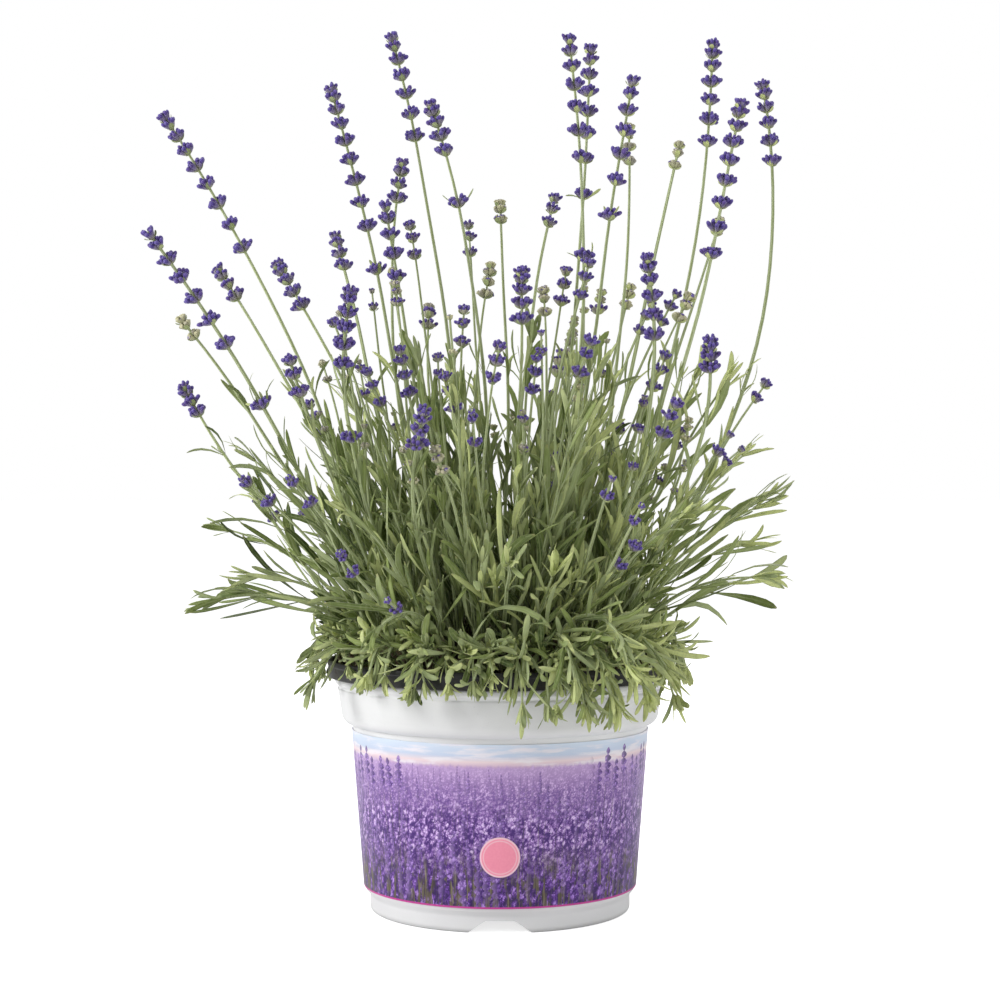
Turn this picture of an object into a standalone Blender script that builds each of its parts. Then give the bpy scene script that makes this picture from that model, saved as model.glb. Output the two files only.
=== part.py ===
"""Lavender in a black grower's pot, which hangs by its rim in a white cover pot.

Metres, +Z up. The origin is on the pots' axis, at the level of the feet, and -Y is the front.
The pots, the label and the soil are turned shapes. Each flower stalk and each leafy shoot is one
body of its own that stands on the soil.
"""

import math

import bmesh
import bpy
from mathutils import Matrix, Vector
from mathutils.bvhtree import BVHTree

# Clearances between pieces that touch or rest on each other
GAP = 0.0003

# Cover pot: outside
POT_HEIGHT = 0.1364
RIM_RADIUS = 0.0956
RIM_LIP = 0.0014
RIM_LIP_HEIGHT = 0.0032
BAND_HEIGHT = 0.0204
BAND_TAPER = 0.0022
SHOULDER_HEIGHT = 0.0070
SHOULDER_STEP = 0.0066
WALL_TAPER = 0.0074
FOOT_STEP = 0.0030
FOOT_HEIGHT = 0.0095
FOOT_CHAMFER_HEIGHT = 0.0035
FOOT_ROUNDING = 0.0022
BAND_FOOT = POT_HEIGHT - BAND_HEIGHT
SHOULDER_FOOT = BAND_FOOT - SHOULDER_HEIGHT
WALL_FOOT = FOOT_HEIGHT + FOOT_CHAMFER_HEIGHT
BAND_FOOT_RADIUS = RIM_RADIUS - BAND_TAPER
WALL_TOP_RADIUS = BAND_FOOT_RADIUS - SHOULDER_STEP
WALL_FOOT_RADIUS = WALL_TOP_RADIUS - WALL_TAPER
FOOT_RADIUS = WALL_FOOT_RADIUS - FOOT_STEP
# Cover pot: inside and underside
POT_WALL = 0.0018
FLOOR_UNDERSIDE = 0.0085
FLOOR_THICKNESS = 0.0020
FOOT_RING_WIDTH = 0.0062
NOTCH_COUNT = 3
NOTCH_TOP_WIDTH = 0.0160
NOTCH_FOOT_WIDTH = 0.0360
NOTCH_HEIGHT = 0.0070

# Label and badge
LABEL_THICKNESS = 0.0004
LABEL_LOW_MARGIN = 0.0015
LABEL_HIGH_MARGIN = 0.0030
LABEL_LOW = WALL_FOOT + LABEL_LOW_MARGIN
LABEL_HIGH = SHOULDER_FOOT - LABEL_HIGH_MARGIN
BADGE_RADIUS = 0.0112
BADGE_ABOVE_LABEL_LOW = 0.0290

# Grower's pot
GROW_RIM_OVERHANG = 0.0059
GROW_RIM_HEIGHT = 0.0100
GROW_WALL = 0.0013
GROW_RIM_WALL = 0.0022
GROW_CLEARANCE = 0.0020
GROW_FLOOR_CLEARANCE = 0.0055
DRAIN_HOLE_COUNT = 5
DRAIN_HOLE_RADIUS = 0.0040
DRAIN_HOLE_INSET = 0.0245

# Soil and crown
SOIL_BELOW_RIM = 0.0045
SOIL_FLOOR_CLEARANCE = 0.0190
CROWN_RADIUS = 0.0125
CROWN_HEIGHT = 0.0150
CROWN_STUB_COUNT = 5
CROWN_STUB_RADIUS = 0.0032
CROWN_STUB_LENGTH = 0.0130
CROWN_STUB_LEAN = 28
CROWN_TURN_STEPS = 14

# Flower stalks. The outermost stem leaves the soil at this share of the soil's radius
ROOT_RING = 0.81
ROOT_CROWN_CLEARANCE = 0.0065
STALK_RADIUS_ROOT = 0.0013
STALK_RADIUS_TOP = 0.0007
WHORL_RADIUS = 0.0058
TIP_WHORL_RADIUS = 0.0036
WHORL_HEIGHT = 0.0070
ROOT_COLLAR = 0.0030

# Leafy shoots
SHOOT_RADIUS_ROOT = 0.0015
SHOOT_RADIUS_TOP = 0.0008
LEAF_PAIRS = 3
FIRST_PAIR = 0.34
LAST_PAIR = 0.92
LEAF_LENGTH = 0.0440
LEAF_WIDTH = 0.0042
LEAF_THICKNESS = 0.0011
LEAF_CLEARANCE = 0.0006

TURN_STEPS = 48

# Flower stalks: name, tip (x, y, height above the soil), middle of the stem (x, y), length of the spike,
# number of its whorls, and how far below the tip a lone whorl sits (None without one)
STALKS = [
    ("flower_stalk_01", (-0.195, -0.020, 0.323), (-0.110, -0.012), 0.085, 8, None),
    ("flower_stalk_02", (-0.187, -0.120, 0.243), (-0.115, -0.070), 0.070, 6, 0.108),
    ("flower_stalk_03", (-0.175, 0.060, 0.243), (-0.105, 0.038), 0.022, 3, None),
    ("flower_stalk_04", (-0.180, -0.060, 0.203), (-0.112, -0.038), 0.014, 2, None),
    ("flower_stalk_05", (-0.190, 0.020, 0.168), (-0.135, 0.012), 0.022, 3, None),
    ("flower_stalk_06", (-0.135, 0.030, 0.243), (-0.075, 0.018), 0.030, 4, None),
    ("flower_stalk_07", (-0.115, -0.090, 0.178), (-0.085, -0.060), 0.024, 2, None),
    ("flower_stalk_08", (-0.105, 0.095, 0.268), (-0.070, 0.058), 0.024, 3, None),
    ("flower_stalk_09", (-0.100, 0.000, 0.343), (-0.060, 0.000), 0.086, 8, 0.112),
    ("flower_stalk_10", (-0.060, 0.055, 0.308), (-0.062, 0.034), 0.026, 3, None),
    ("flower_stalk_11", (-0.065, -0.045, 0.268), (-0.045, -0.030), 0.044, 4, None),
    ("flower_stalk_12", (-0.065, 0.020, 0.378), (-0.030, 0.012), 0.064, 6, None),
    ("flower_stalk_13", (-0.040, -0.030, 0.328), (-0.008, -0.022), 0.030, 4, 0.060),
    ("flower_stalk_14", (-0.080, -0.110, 0.213), (-0.078, -0.072), 0.046, 5, 0.090),
    ("flower_stalk_15", (0.000, 0.045, 0.283), (0.004, 0.034), 0.014, 2, None),
    ("flower_stalk_16", (0.035, 0.100, 0.293), (0.012, 0.064), 0.020, 2, None),
    ("flower_stalk_17", (0.040, -0.020, 0.368), (0.046, -0.014), 0.072, 6, 0.130),
    ("flower_stalk_18", (0.055, 0.030, 0.373), (0.042, 0.026), 0.070, 6, 0.092),
    ("flower_stalk_19", (0.075, -0.050, 0.338), (0.050, -0.036), 0.060, 5, 0.080),
    ("flower_stalk_20", (0.080, 0.065, 0.333), (0.070, 0.044), 0.026, 3, None),
    ("flower_stalk_21", (0.115, 0.100, 0.328), (0.078, 0.066), 0.018, 2, None),
    ("flower_stalk_22", (0.125, -0.005, 0.368), (0.102, -0.004), 0.062, 6, None),
    ("flower_stalk_23", (0.135, -0.060, 0.323), (0.100, -0.042), 0.090, 8, None),
    ("flower_stalk_24", (0.160, 0.040, 0.353), (0.150, 0.028), 0.054, 5, None),
    ("flower_stalk_25", (0.080, -0.090, 0.233), (0.078, -0.060), 0.048, 5, None),
    ("flower_stalk_26", (0.115, -0.085, 0.188), (0.100, -0.060), 0.020, 3, None),
    ("flower_stalk_27", (0.012, -0.070, 0.228), (0.010, -0.048), 0.030, 4, None),
    ("flower_stalk_28", (-0.040, -0.125, 0.148), (-0.044, -0.082), 0.024, 3, None),
]

# Leafy shoots: name, tip as above, and how far the middle of the stem is raised above the straight line
SHOOTS = [
    ("leafy_shoot_01", (-0.165, -0.035, 0.043), 0.016),
    ("leafy_shoot_02", (-0.170, 0.040, 0.083), 0.014),
    ("leafy_shoot_03", (-0.150, -0.005, 0.128), 0.012),
    ("leafy_shoot_04", (-0.140, -0.072, 0.058), 0.014),
    ("leafy_shoot_05", (-0.120, 0.095, 0.093), 0.014),
    ("leafy_shoot_06", (-0.085, -0.125, 0.098), 0.012),
    ("leafy_shoot_07", (-0.065, -0.132, 0.033), 0.018),
    ("leafy_shoot_08", (-0.025, -0.100, 0.158), 0.010),
    ("leafy_shoot_09", (0.005, -0.140, 0.068), 0.016),
    ("leafy_shoot_10", (0.040, -0.115, 0.143), 0.010),
    ("leafy_shoot_11", (0.065, -0.130, 0.028), 0.020),
    ("leafy_shoot_12", (0.100, -0.110, 0.093), 0.012),
    ("leafy_shoot_13", (0.145, -0.080, 0.058), 0.014),
    ("leafy_shoot_14", (0.155, -0.010, 0.098), 0.014),
    ("leafy_shoot_15", (0.162, 0.110, 0.133), 0.012),
    ("leafy_shoot_16", (0.155, 0.055, 0.073), 0.014),
    ("leafy_shoot_17", (0.085, 0.125, 0.093), 0.014),
    ("leafy_shoot_18", (0.025, 0.135, 0.108), 0.014),
    ("leafy_shoot_19", (-0.050, 0.130, 0.108), 0.014),
    ("leafy_shoot_20", (-0.015, 0.085, 0.168), 0.008),
    ("leafy_shoot_21", (0.120, 0.020, 0.178), 0.008),
    ("leafy_shoot_22", (-0.090, 0.060, 0.158), 0.010),
    ("leafy_shoot_23", (0.055, -0.065, 0.173), 0.008),
]

POT_WHITE = ("cover_pot_plastic", (0.86, 0.86, 0.85), 0.32)
LABEL_PRINT = ("label_print", (0.36, 0.24, 0.55), 0.42)
BADGE_PINK = ("badge_print", (0.91, 0.26, 0.36), 0.42)
GROW_BLACK = ("grow_pot_plastic", (0.018, 0.018, 0.020), 0.48)
SOIL_BROWN = ("potting_soil", (0.060, 0.036, 0.022), 0.95)
CROWN_BARK = ("crown_bark", (0.20, 0.125, 0.080), 0.85)
STALK_VIOLET = ("flower_stalk", (0.16, 0.13, 0.34), 0.70)
LEAF_GREEN = ("leafy_shoot", (0.20, 0.27, 0.12), 0.65)


def clear_scene():
    for obj in list(bpy.data.objects):
        bpy.data.objects.remove(obj, do_unlink=True)


def make_collection(name):
    collection = bpy.data.collections.new(name)
    bpy.context.scene.collection.children.link(collection)
    return collection


def make_material(name, colour, roughness):
    material = bpy.data.materials.new(name)
    material.use_nodes = True
    shader = material.node_tree.nodes["Principled BSDF"]
    shader.inputs["Base Color"].default_value = (*colour, 1.0)
    shader.inputs["Roughness"].default_value = roughness
    shader.inputs["Metallic"].default_value = 0.0
    return material


def add_object(name, data, collection, material=None):
    obj = bpy.data.objects.new(name, data)
    collection.objects.link(obj)
    if material:
        obj.data.materials.append(material)
    return obj


def shape_object(name, shape, collection, material=None):
    """The bmesh as an object of its own."""
    mesh = bpy.data.meshes.new(name)
    shape.to_mesh(mesh)
    shape.free()
    return add_object(name, mesh, collection, material)


def cone_object(name, segments, low_radius, high_radius, depth, collection):
    """A capped cone or cylinder along Z, with its centre at its object's origin."""
    shape = bmesh.new()
    bmesh.ops.create_cone(
        shape, cap_ends=True, segments=segments, radius1=low_radius, radius2=high_radius, depth=depth
    )
    return shape_object(name, shape, collection)


def hide_cutter(obj):
    obj.hide_render = True
    obj.display_type = "WIRE"


def screw_turn(obj, steps):
    screw = obj.modifiers.new("Turn", "SCREW")
    screw.axis = "Z"
    screw.steps = steps
    screw.render_steps = steps
    screw.use_merge_vertices = True
    screw.merge_threshold = 0.00001
    screw.use_smooth_shade = True


def turned(name, outline, collection, material, closed=False, steps=TURN_STEPS):
    """A body of revolution. The outline is (radius, height) points, down the outer side."""
    shape = bmesh.new()
    points = [shape.verts.new((radius, 0.0, height)) for radius, height in outline]
    for first, second in zip(points, points[1:]):
        shape.edges.new((first, second))
    if closed:
        shape.edges.new((points[-1], points[0]))
    obj = shape_object(name, shape, collection, material)
    screw_turn(obj, steps)
    return obj


def mesh_of(obj):
    """The mesh that the object's modifiers or its curve give, in world space."""
    graph = bpy.context.evaluated_depsgraph_get()
    graph.update()
    mesh = bpy.data.meshes.new_from_object(obj.evaluated_get(graph))
    mesh.transform(obj.matrix_world)
    return mesh


def welded(mesh):
    """The mesh with its loose caps joined to its sides and every quad split."""
    shape = bmesh.new()
    shape.from_mesh(mesh)
    bmesh.ops.remove_doubles(shape, verts=shape.verts, dist=0.000001)
    bmesh.ops.triangulate(shape, faces=shape.faces)
    bmesh.ops.recalc_face_normals(shape, faces=shape.faces)
    shape.to_mesh(mesh)
    shape.free()
    return mesh


def boolean(obj, operation, other):
    modifier = obj.modifiers.new(other.name, "BOOLEAN")
    modifier.operation = operation
    modifier.solver = "EXACT"
    modifier.object = other
    hide_cutter(other)


def wall_radius(height):
    """Outer radius of the cover pot's tapered wall."""
    share = (height - WALL_FOOT) / (SHOULDER_FOOT - WALL_FOOT)
    return WALL_FOOT_RADIUS + share * (WALL_TOP_RADIUS - WALL_FOOT_RADIUS)


def quarter_arc(centre, radius, start, end, steps=5):
    """Points of a quarter circle in the (radius, height) plane, angles in degrees."""
    points = []
    for step in range(steps + 1):
        angle = math.radians(start + (end - start) * step / steps)
        points.append((centre[0] + radius * math.cos(angle), centre[1] + radius * math.sin(angle)))
    return points


def make_cover_pot(parts, cutters):
    floor_top = FLOOR_UNDERSIDE + FLOOR_THICKNESS
    ring_inner = FOOT_RADIUS - FOOT_RING_WIDTH
    lip_radius = RIM_RADIUS + RIM_LIP
    outline = [
        (0.0, floor_top),
        (FOOT_RADIUS - POT_WALL, floor_top),
        (WALL_FOOT_RADIUS - POT_WALL, WALL_FOOT + POT_WALL),
        (WALL_TOP_RADIUS - POT_WALL, SHOULDER_FOOT),
        (BAND_FOOT_RADIUS - POT_WALL, BAND_FOOT + POT_WALL),
        (RIM_RADIUS - POT_WALL, POT_HEIGHT - 0.0006),
        (RIM_RADIUS - POT_WALL + 0.0006, POT_HEIGHT),
        (lip_radius - 0.0008, POT_HEIGHT),
        (lip_radius, POT_HEIGHT - 0.0008),
        (lip_radius, POT_HEIGHT - RIM_LIP_HEIGHT),
        (RIM_RADIUS, POT_HEIGHT - RIM_LIP_HEIGHT - 0.0012),
        (BAND_FOOT_RADIUS, BAND_FOOT),
    ]
    outline += [
        (
            WALL_TOP_RADIUS + SHOULDER_STEP * math.cos(math.radians(angle)),
            BAND_FOOT - SHOULDER_HEIGHT * math.sin(math.radians(angle)),
        )
        for angle in (30, 60, 90)
    ]
    outline.append((WALL_FOOT_RADIUS, WALL_FOOT))
    outline.append((FOOT_RADIUS, FOOT_HEIGHT))
    outline += quarter_arc((FOOT_RADIUS - FOOT_ROUNDING, FOOT_ROUNDING), FOOT_ROUNDING, 0, -90, 3)
    outline += [
        (ring_inner, 0.0),
        (ring_inner, FLOOR_UNDERSIDE - 0.0012),
        (ring_inner - 0.0012, FLOOR_UNDERSIDE),
        (0.0, FLOOR_UNDERSIDE),
    ]
    pot = turned("cover_pot", outline, parts, make_material(*POT_WHITE))
    for index in range(NOTCH_COUNT):
        turn = 360.0 * index / NOTCH_COUNT
        boolean(pot, "DIFFERENCE", make_notch(f"foot_notch_{index + 1}", turn, cutters))
    return pot


def make_notch(name, turn, cutters):
    """A trapezoid prism across the foot ring, at the front and turned about the pot's axis."""
    below = 0.004
    flare = (NOTCH_FOOT_WIDTH - NOTCH_TOP_WIDTH) / 2 / NOTCH_HEIGHT
    low_half = NOTCH_FOOT_WIDTH / 2 + flare * below
    high_half = NOTCH_TOP_WIDTH / 2
    shape = bmesh.new()
    bmesh.ops.create_cube(shape, size=1.0)
    length = 2.5 * FOOT_RING_WIDTH
    for vert in shape.verts:
        half = high_half if vert.co.z > 0 else low_half
        height = NOTCH_HEIGHT if vert.co.z > 0 else -below
        depth = -FOOT_RADIUS + FOOT_RING_WIDTH / 2 + math.copysign(length / 2, vert.co.y)
        vert.co = Vector((math.copysign(half, vert.co.x), depth, height))
    cutter = shape_object(name, shape, cutters)
    cutter.rotation_euler.z = math.radians(turn)
    return cutter


def sleeve_outline(low, high, inner_gap, thickness):
    """Closed section of a thin cone that follows the tapered wall."""
    inner_low = wall_radius(low) + inner_gap
    inner_high = wall_radius(high) + inner_gap
    return [
        (inner_high + thickness, high),
        (inner_low + thickness, low),
        (inner_low, low),
        (inner_high, high),
    ]


def make_label(parts):
    outline = sleeve_outline(LABEL_LOW, LABEL_HIGH, GAP, LABEL_THICKNESS)
    return turned("label", outline, parts, make_material(*LABEL_PRINT), closed=True)


def make_badge(parts, cutters):
    """A round sticker that follows the label's curve."""
    inner_gap = 2 * GAP + LABEL_THICKNESS
    height = LABEL_LOW + BADGE_ABOVE_LABEL_LOW
    reach = 1.2 * BADGE_RADIUS
    outline = sleeve_outline(height - reach, height + reach, inner_gap, LABEL_THICKNESS)
    badge = turned("badge", outline, parts, make_material(*BADGE_PINK), closed=True)
    cutter = cone_object("badge_outline", 40, BADGE_RADIUS, BADGE_RADIUS, WALL_TOP_RADIUS, cutters)
    cutter.rotation_euler.x = math.radians(90)
    cutter.location = (0.0, -WALL_TOP_RADIUS, height)
    boolean(badge, "INTERSECT", cutter)
    return badge


def grow_radius(height):
    """Outer radius of the grower's pot below its rim."""
    return wall_radius(height) - POT_WALL - GROW_CLEARANCE


def grow_floor():
    return FLOOR_UNDERSIDE + FLOOR_THICKNESS + GROW_FLOOR_CLEARANCE


def make_grow_pot(parts, cutters):
    rim_low = POT_HEIGHT + GAP
    rim_high = rim_low + GROW_RIM_HEIGHT
    rim_radius = RIM_RADIUS + GROW_RIM_OVERHANG
    rim_inner = rim_radius - GROW_RIM_WALL
    floor = grow_floor()
    neck = grow_radius(SHOULDER_FOOT)
    edge = 0.0007
    outline = [
        (0.0, floor + GROW_WALL),
        (grow_radius(floor) - GROW_WALL, floor + GROW_WALL),
        (neck - GROW_WALL, SHOULDER_FOOT),
        (neck - GROW_WALL, rim_low + GROW_WALL),
        (rim_inner, rim_low + GROW_WALL),
        (rim_inner, rim_high - edge),
        (rim_inner + edge, rim_high),
        (rim_radius - edge, rim_high),
        (rim_radius, rim_high - edge),
        (rim_radius, rim_low + edge),
        (rim_radius - edge, rim_low),
        (neck, rim_low),
        (neck, SHOULDER_FOOT),
        (grow_radius(floor), floor),
        (0.0, floor),
    ]
    pot = turned("grow_pot", outline, parts, make_material(*GROW_BLACK))
    hole_circle = grow_radius(floor) - DRAIN_HOLE_INSET
    for index in range(DRAIN_HOLE_COUNT):
        angle = 2 * math.pi * index / DRAIN_HOLE_COUNT
        name = f"drain_hole_{index + 1}"
        cutter = cone_object(name, 16, DRAIN_HOLE_RADIUS, DRAIN_HOLE_RADIUS, 4 * GROW_WALL, cutters)
        cutter.location = (
            hole_circle * math.cos(angle),
            hole_circle * math.sin(angle),
            floor,
        )
        boolean(pot, "DIFFERENCE", cutter)
    return pot


def soil_top():
    return POT_HEIGHT + GAP + GROW_RIM_HEIGHT - SOIL_BELOW_RIM


def soil_radius():
    """Radius of the soil's surface, inside the grower's pot's rim."""
    return RIM_RADIUS + GROW_RIM_OVERHANG - GROW_RIM_WALL - GAP


def make_soil(parts):
    """The root ball: it fills the grower's pot up to its stepped rim, with a low shoulder on top."""
    top = soil_top()
    step = POT_HEIGHT + GAP + GROW_WALL + GAP
    neck = grow_radius(SHOULDER_FOOT) - GROW_WALL - GAP
    rim = soil_radius()
    low = grow_floor() + GROW_WALL + SOIL_FLOOR_CLEARANCE
    outline = [
        (0.0, top),
        (rim - 0.006, top),
        (rim, top - 0.0012),
        (rim, step),
        (neck, step),
        (neck, SHOULDER_FOOT),
        (grow_radius(low) - GROW_WALL - GAP, low),
        (0.0, low),
    ]
    return turned("soil", outline, parts, make_material(*SOIL_BROWN))


def make_crown(parts, cutters):
    """A woody knot in the middle of the soil, with short pruned stubs."""
    base = soil_top() + GAP
    crown = turned(
        "woody_crown",
        [
            (0.0, base + CROWN_HEIGHT),
            (CROWN_RADIUS * 0.55, base + CROWN_HEIGHT * 0.92),
            (CROWN_RADIUS * 0.85, base + CROWN_HEIGHT * 0.60),
            (CROWN_RADIUS, base + CROWN_HEIGHT * 0.25),
            (CROWN_RADIUS * 0.95, base),
            (0.0, base),
        ],
        parts,
        make_material(*CROWN_BARK),
        steps=CROWN_TURN_STEPS,
    )
    for index in range(CROWN_STUB_COUNT):
        name = f"crown_stub_{index + 1}"
        narrow = CROWN_STUB_RADIUS * 0.7
        stub = cone_object(name, 8, CROWN_STUB_RADIUS, narrow, CROWN_STUB_LENGTH, cutters)
        lean = math.radians(CROWN_STUB_LEAN)
        turn = 2 * math.pi * index / CROWN_STUB_COUNT
        outward = CROWN_RADIUS * 0.45
        stub.rotation_euler = (0.0, lean, turn)
        stub.location = (
            outward * math.cos(turn),
            outward * math.sin(turn),
            base + CROWN_HEIGHT + CROWN_STUB_LENGTH * 0.15,
        )
        boolean(crown, "UNION", stub)
    return crown


def tip_of(tip):
    """A tip's place in space: its third value is a height above the soil."""
    return Vector((tip[0], tip[1], soil_top() + tip[2]))


def root_of(tip):
    """Where a stem leaves the soil: the stems fan out from the middle of the pot."""
    widest = max(math.hypot(row[1][0], row[1][1]) for row in STALKS + SHOOTS)
    least = CROWN_RADIUS + ROOT_CROWN_CLEARANCE
    spread = Vector((tip[0], tip[1])) * ROOT_RING * soil_radius() / widest
    if spread.length < least:
        spread = spread.normalized() * least
    return Vector((spread.x, spread.y, soil_top() + GAP))


def bowed_path(root, middle, tip):
    """A function of 0 to 1 that runs from the root through the middle point to the tip."""
    bend = middle * 2 - (root + tip) / 2

    def place(share):
        rest = 1 - share
        return root * rest * rest + bend * 2 * share * rest + tip * share * share

    return place


def tube(name, points, radii, collection):
    """A four-sided curve object through the points, with a radius of its own at each."""
    curve = bpy.data.curves.new(name, "CURVE")
    curve.dimensions = "3D"
    curve.bevel_depth = 1.0
    curve.bevel_resolution = 0
    curve.use_fill_caps = True
    curve.resolution_u = 1
    spline = curve.splines.new("POLY")
    spline.points.add(len(points) - 1)
    for point, place, radius in zip(spline.points, points, radii):
        point.co = (*place, 1.0)
        point.radius = radius
    return add_object(name, curve, collection)


def stalk_sections(length, spike, whorls, lone):
    """(distance from the root, radius) along a stalk: a thin stem that swells at each whorl."""
    swells = [
        (length - spike * (index / (whorls - 1)) ** 1.15 - TIP_WHORL_RADIUS, index)
        for index in range(whorls)
    ]
    if lone:
        swells.append((length - lone, whorls))
    sections = [(0.0, STALK_RADIUS_ROOT), (ROOT_COLLAR, STALK_RADIUS_ROOT)]
    lowest = swells[-1][0] - WHORL_HEIGHT
    for share in (0.2, 0.4, 0.6, 0.8, 1.0):
        sections.append((ROOT_COLLAR + (lowest - ROOT_COLLAR) * share, stem_radius(share)))
    for centre, index in reversed(swells):
        grown = min(1.0, (index + 1) / 3)
        widest = TIP_WHORL_RADIUS + (WHORL_RADIUS - TIP_WHORL_RADIUS) * grown
        half = WHORL_HEIGHT / 2 if index else TIP_WHORL_RADIUS
        sections.append((centre - half * 0.8, STALK_RADIUS_TOP))
        sections.append((centre, widest))
        sections.append((centre + half * 0.8, STALK_RADIUS_TOP * 1.6))
    return keep_apart(sections)


def stem_radius(share):
    return STALK_RADIUS_ROOT + (STALK_RADIUS_TOP - STALK_RADIUS_ROOT) * share


def keep_apart(sections, least=0.0006):
    """Leaves out a section that is nearly at the place of the one before it."""
    kept = [sections[0]]
    for distance, radius in sections[1:]:
        if distance - kept[-1][0] >= least:
            kept.append((distance, radius))
    return kept


def make_stalk(row, parts, material):
    name, tip, middle, spike, whorls, lone = row
    root = root_of(tip)
    tip = tip_of(tip)
    half_way = Vector((middle[0], middle[1], (root.z + tip.z) / 2))
    place = bowed_path(root, half_way, tip)
    length = sum((place((i + 1) / 20) - place(i / 20)).length for i in range(20))
    sections = stalk_sections(length, spike, whorls, lone)
    points = [place(min(1.0, distance / length)) for distance, _ in sections]
    points[1] = root + Vector((0.0, 0.0, ROOT_COLLAR))
    radii = [radius for _, radius in sections]
    guide = tube(name, points, radii, parts)
    mesh = welded(mesh_of(guide))
    bpy.data.objects.remove(guide)
    return add_object(name, mesh, parts, material)


def make_leaf(name, start, along, up, length, parts):
    """A keeled blade: a triangular section swept along an arched line and drawn out to a point."""
    side = along.cross(up).normalized()
    face = side.cross(along).normalized()
    stations = ((0.0, 0.30), (0.30, 1.0), (0.72, 0.80), (1.0, 0.10))
    frames = []
    for share, width in stations:
        droop = -0.16 * length * share * share
        centre = start + along * length * share + face * droop
        frames.append((centre, width))
    shape = bmesh.new()
    rings = []
    for centre, width in frames:
        across = side * (LEAF_WIDTH / 2 * width)
        keel = face * (-LEAF_THICKNESS * (0.5 + 0.5 * width))
        corners = (centre - across, centre + across, centre + keel)
        rings.append([shape.verts.new(corner) for corner in corners])
    edges = []
    for ring in rings:
        edges.append([shape.edges.new((ring[i], ring[(i + 1) % 3])) for i in range(3)])
    for first, second in zip(edges, edges[1:]):
        bmesh.ops.bridge_loops(shape, edges=first + second)
    shape.faces.new(rings[0])
    shape.faces.new(rings[-1])
    bmesh.ops.triangulate(shape, faces=shape.faces)
    bmesh.ops.recalc_face_normals(shape, faces=shape.faces)
    return shape_object(name, shape, parts)


def tree_of(mesh):
    shape = bmesh.new()
    shape.from_mesh(mesh)
    tree = BVHTree.FromBMesh(shape)
    shape.free()
    return tree


def touches(mesh, trees):
    """Whether the mesh crosses one of the trees' surfaces or comes nearer than the leaf clearance."""
    own = tree_of(mesh)
    for tree in trees:
        if own.overlap(tree):
            return True
        for polygon in mesh.polygons:
            if tree.find_nearest(polygon.center, LEAF_CLEARANCE + LEAF_WIDTH / 8)[0] is not None:
                return True
        for vert in mesh.vertices:
            if tree.find_nearest(vert.co, LEAF_CLEARANCE)[0] is not None:
                return True
    return False


def leaf_tries():
    """(turn, opening angle, share of the length) in the order in which a leaf tries them."""
    for share in (1.0, 0.8, 0.6, 0.45):
        for opening in (42, 30, 56, 70):
            for turn in (0, 18, -18, 36, -36, 54, -54, 72, -72, 90):
                yield turn, opening, share


def clear_leaf(name, start, stem, turn, neighbours, parts):
    """A leaf at its pair's place, turned, opened or shortened until it clears the neighbours."""
    level = stem.orthogonal().normalized()
    for more, opening, share in leaf_tries():
        outward = Matrix.Rotation(math.radians(turn + more), 3, stem) @ level
        along = (stem * math.cos(math.radians(opening)) + outward * math.sin(math.radians(opening)))
        base = start + outward * SHOOT_RADIUS_TOP * 0.3
        leaf = make_leaf(name, base, along.normalized(), stem, LEAF_LENGTH * share, parts)
        if not touches(leaf.data, neighbours):
            return leaf
        bpy.data.objects.remove(leaf)
    raise ValueError(f"no room for {name}")


def make_shoot(row, neighbours, parts, material):
    name, tip, rise = row
    root = root_of(tip)
    tip = tip_of(tip)
    middle = (root + tip) / 2 + Vector((0.0, 0.0, rise))
    place = bowed_path(root, middle, tip)
    step = (LAST_PAIR - FIRST_PAIR) / (LEAF_PAIRS - 1)
    pairs = [FIRST_PAIR + step * pair for pair in range(LEAF_PAIRS)]
    shares = [0.0, 0.03, FIRST_PAIR / 2, *pairs, 1.0]
    points = [place(share) for share in shares]
    points[1] = root + Vector((0.0, 0.0, ROOT_COLLAR))
    radii = [SHOOT_RADIUS_ROOT + (SHOOT_RADIUS_TOP - SHOOT_RADIUS_ROOT) * share for share in shares]
    guide = tube(name, points, radii, parts)
    stem_mesh = welded(mesh_of(guide))
    bpy.data.objects.remove(guide)
    shoot = add_object(name, stem_mesh, parts, material)
    leaves = []
    for pair, share in enumerate(pairs):
        start = place(share)
        stem = (place(min(1.0, share + 0.02)) - place(share - 0.02)).normalized()
        for opposite in (0, 180):
            leaf_name = f"{name}_leaf_{len(leaves) + 1}"
            turn = 90 * (pair % 2) + 20 + opposite
            leaves.append(clear_leaf(leaf_name, start, stem, turn, neighbours, parts))
    join_leaves(shoot, leaves)
    return shoot


def join_leaves(shoot, leaves):
    """Makes the stem and its leaves one body."""
    group = bpy.data.collections.new(shoot.name + "_leaves")
    for leaf in leaves:
        group.objects.link(leaf)
    union = shoot.modifiers.new("Leaves", "BOOLEAN")
    union.operation = "UNION"
    union.solver = "EXACT"
    union.operand_type = "COLLECTION"
    union.collection = group
    mesh = mesh_of(shoot)
    shoot.modifiers.clear()
    shoot.data = mesh
    for leaf in leaves:
        bpy.data.objects.remove(leaf)
    bpy.data.collections.remove(group)


def shade(objects):
    for obj in objects:
        obj.data.shade_smooth()
        obj.data.set_sharp_from_angle(angle=math.radians(40))


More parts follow.
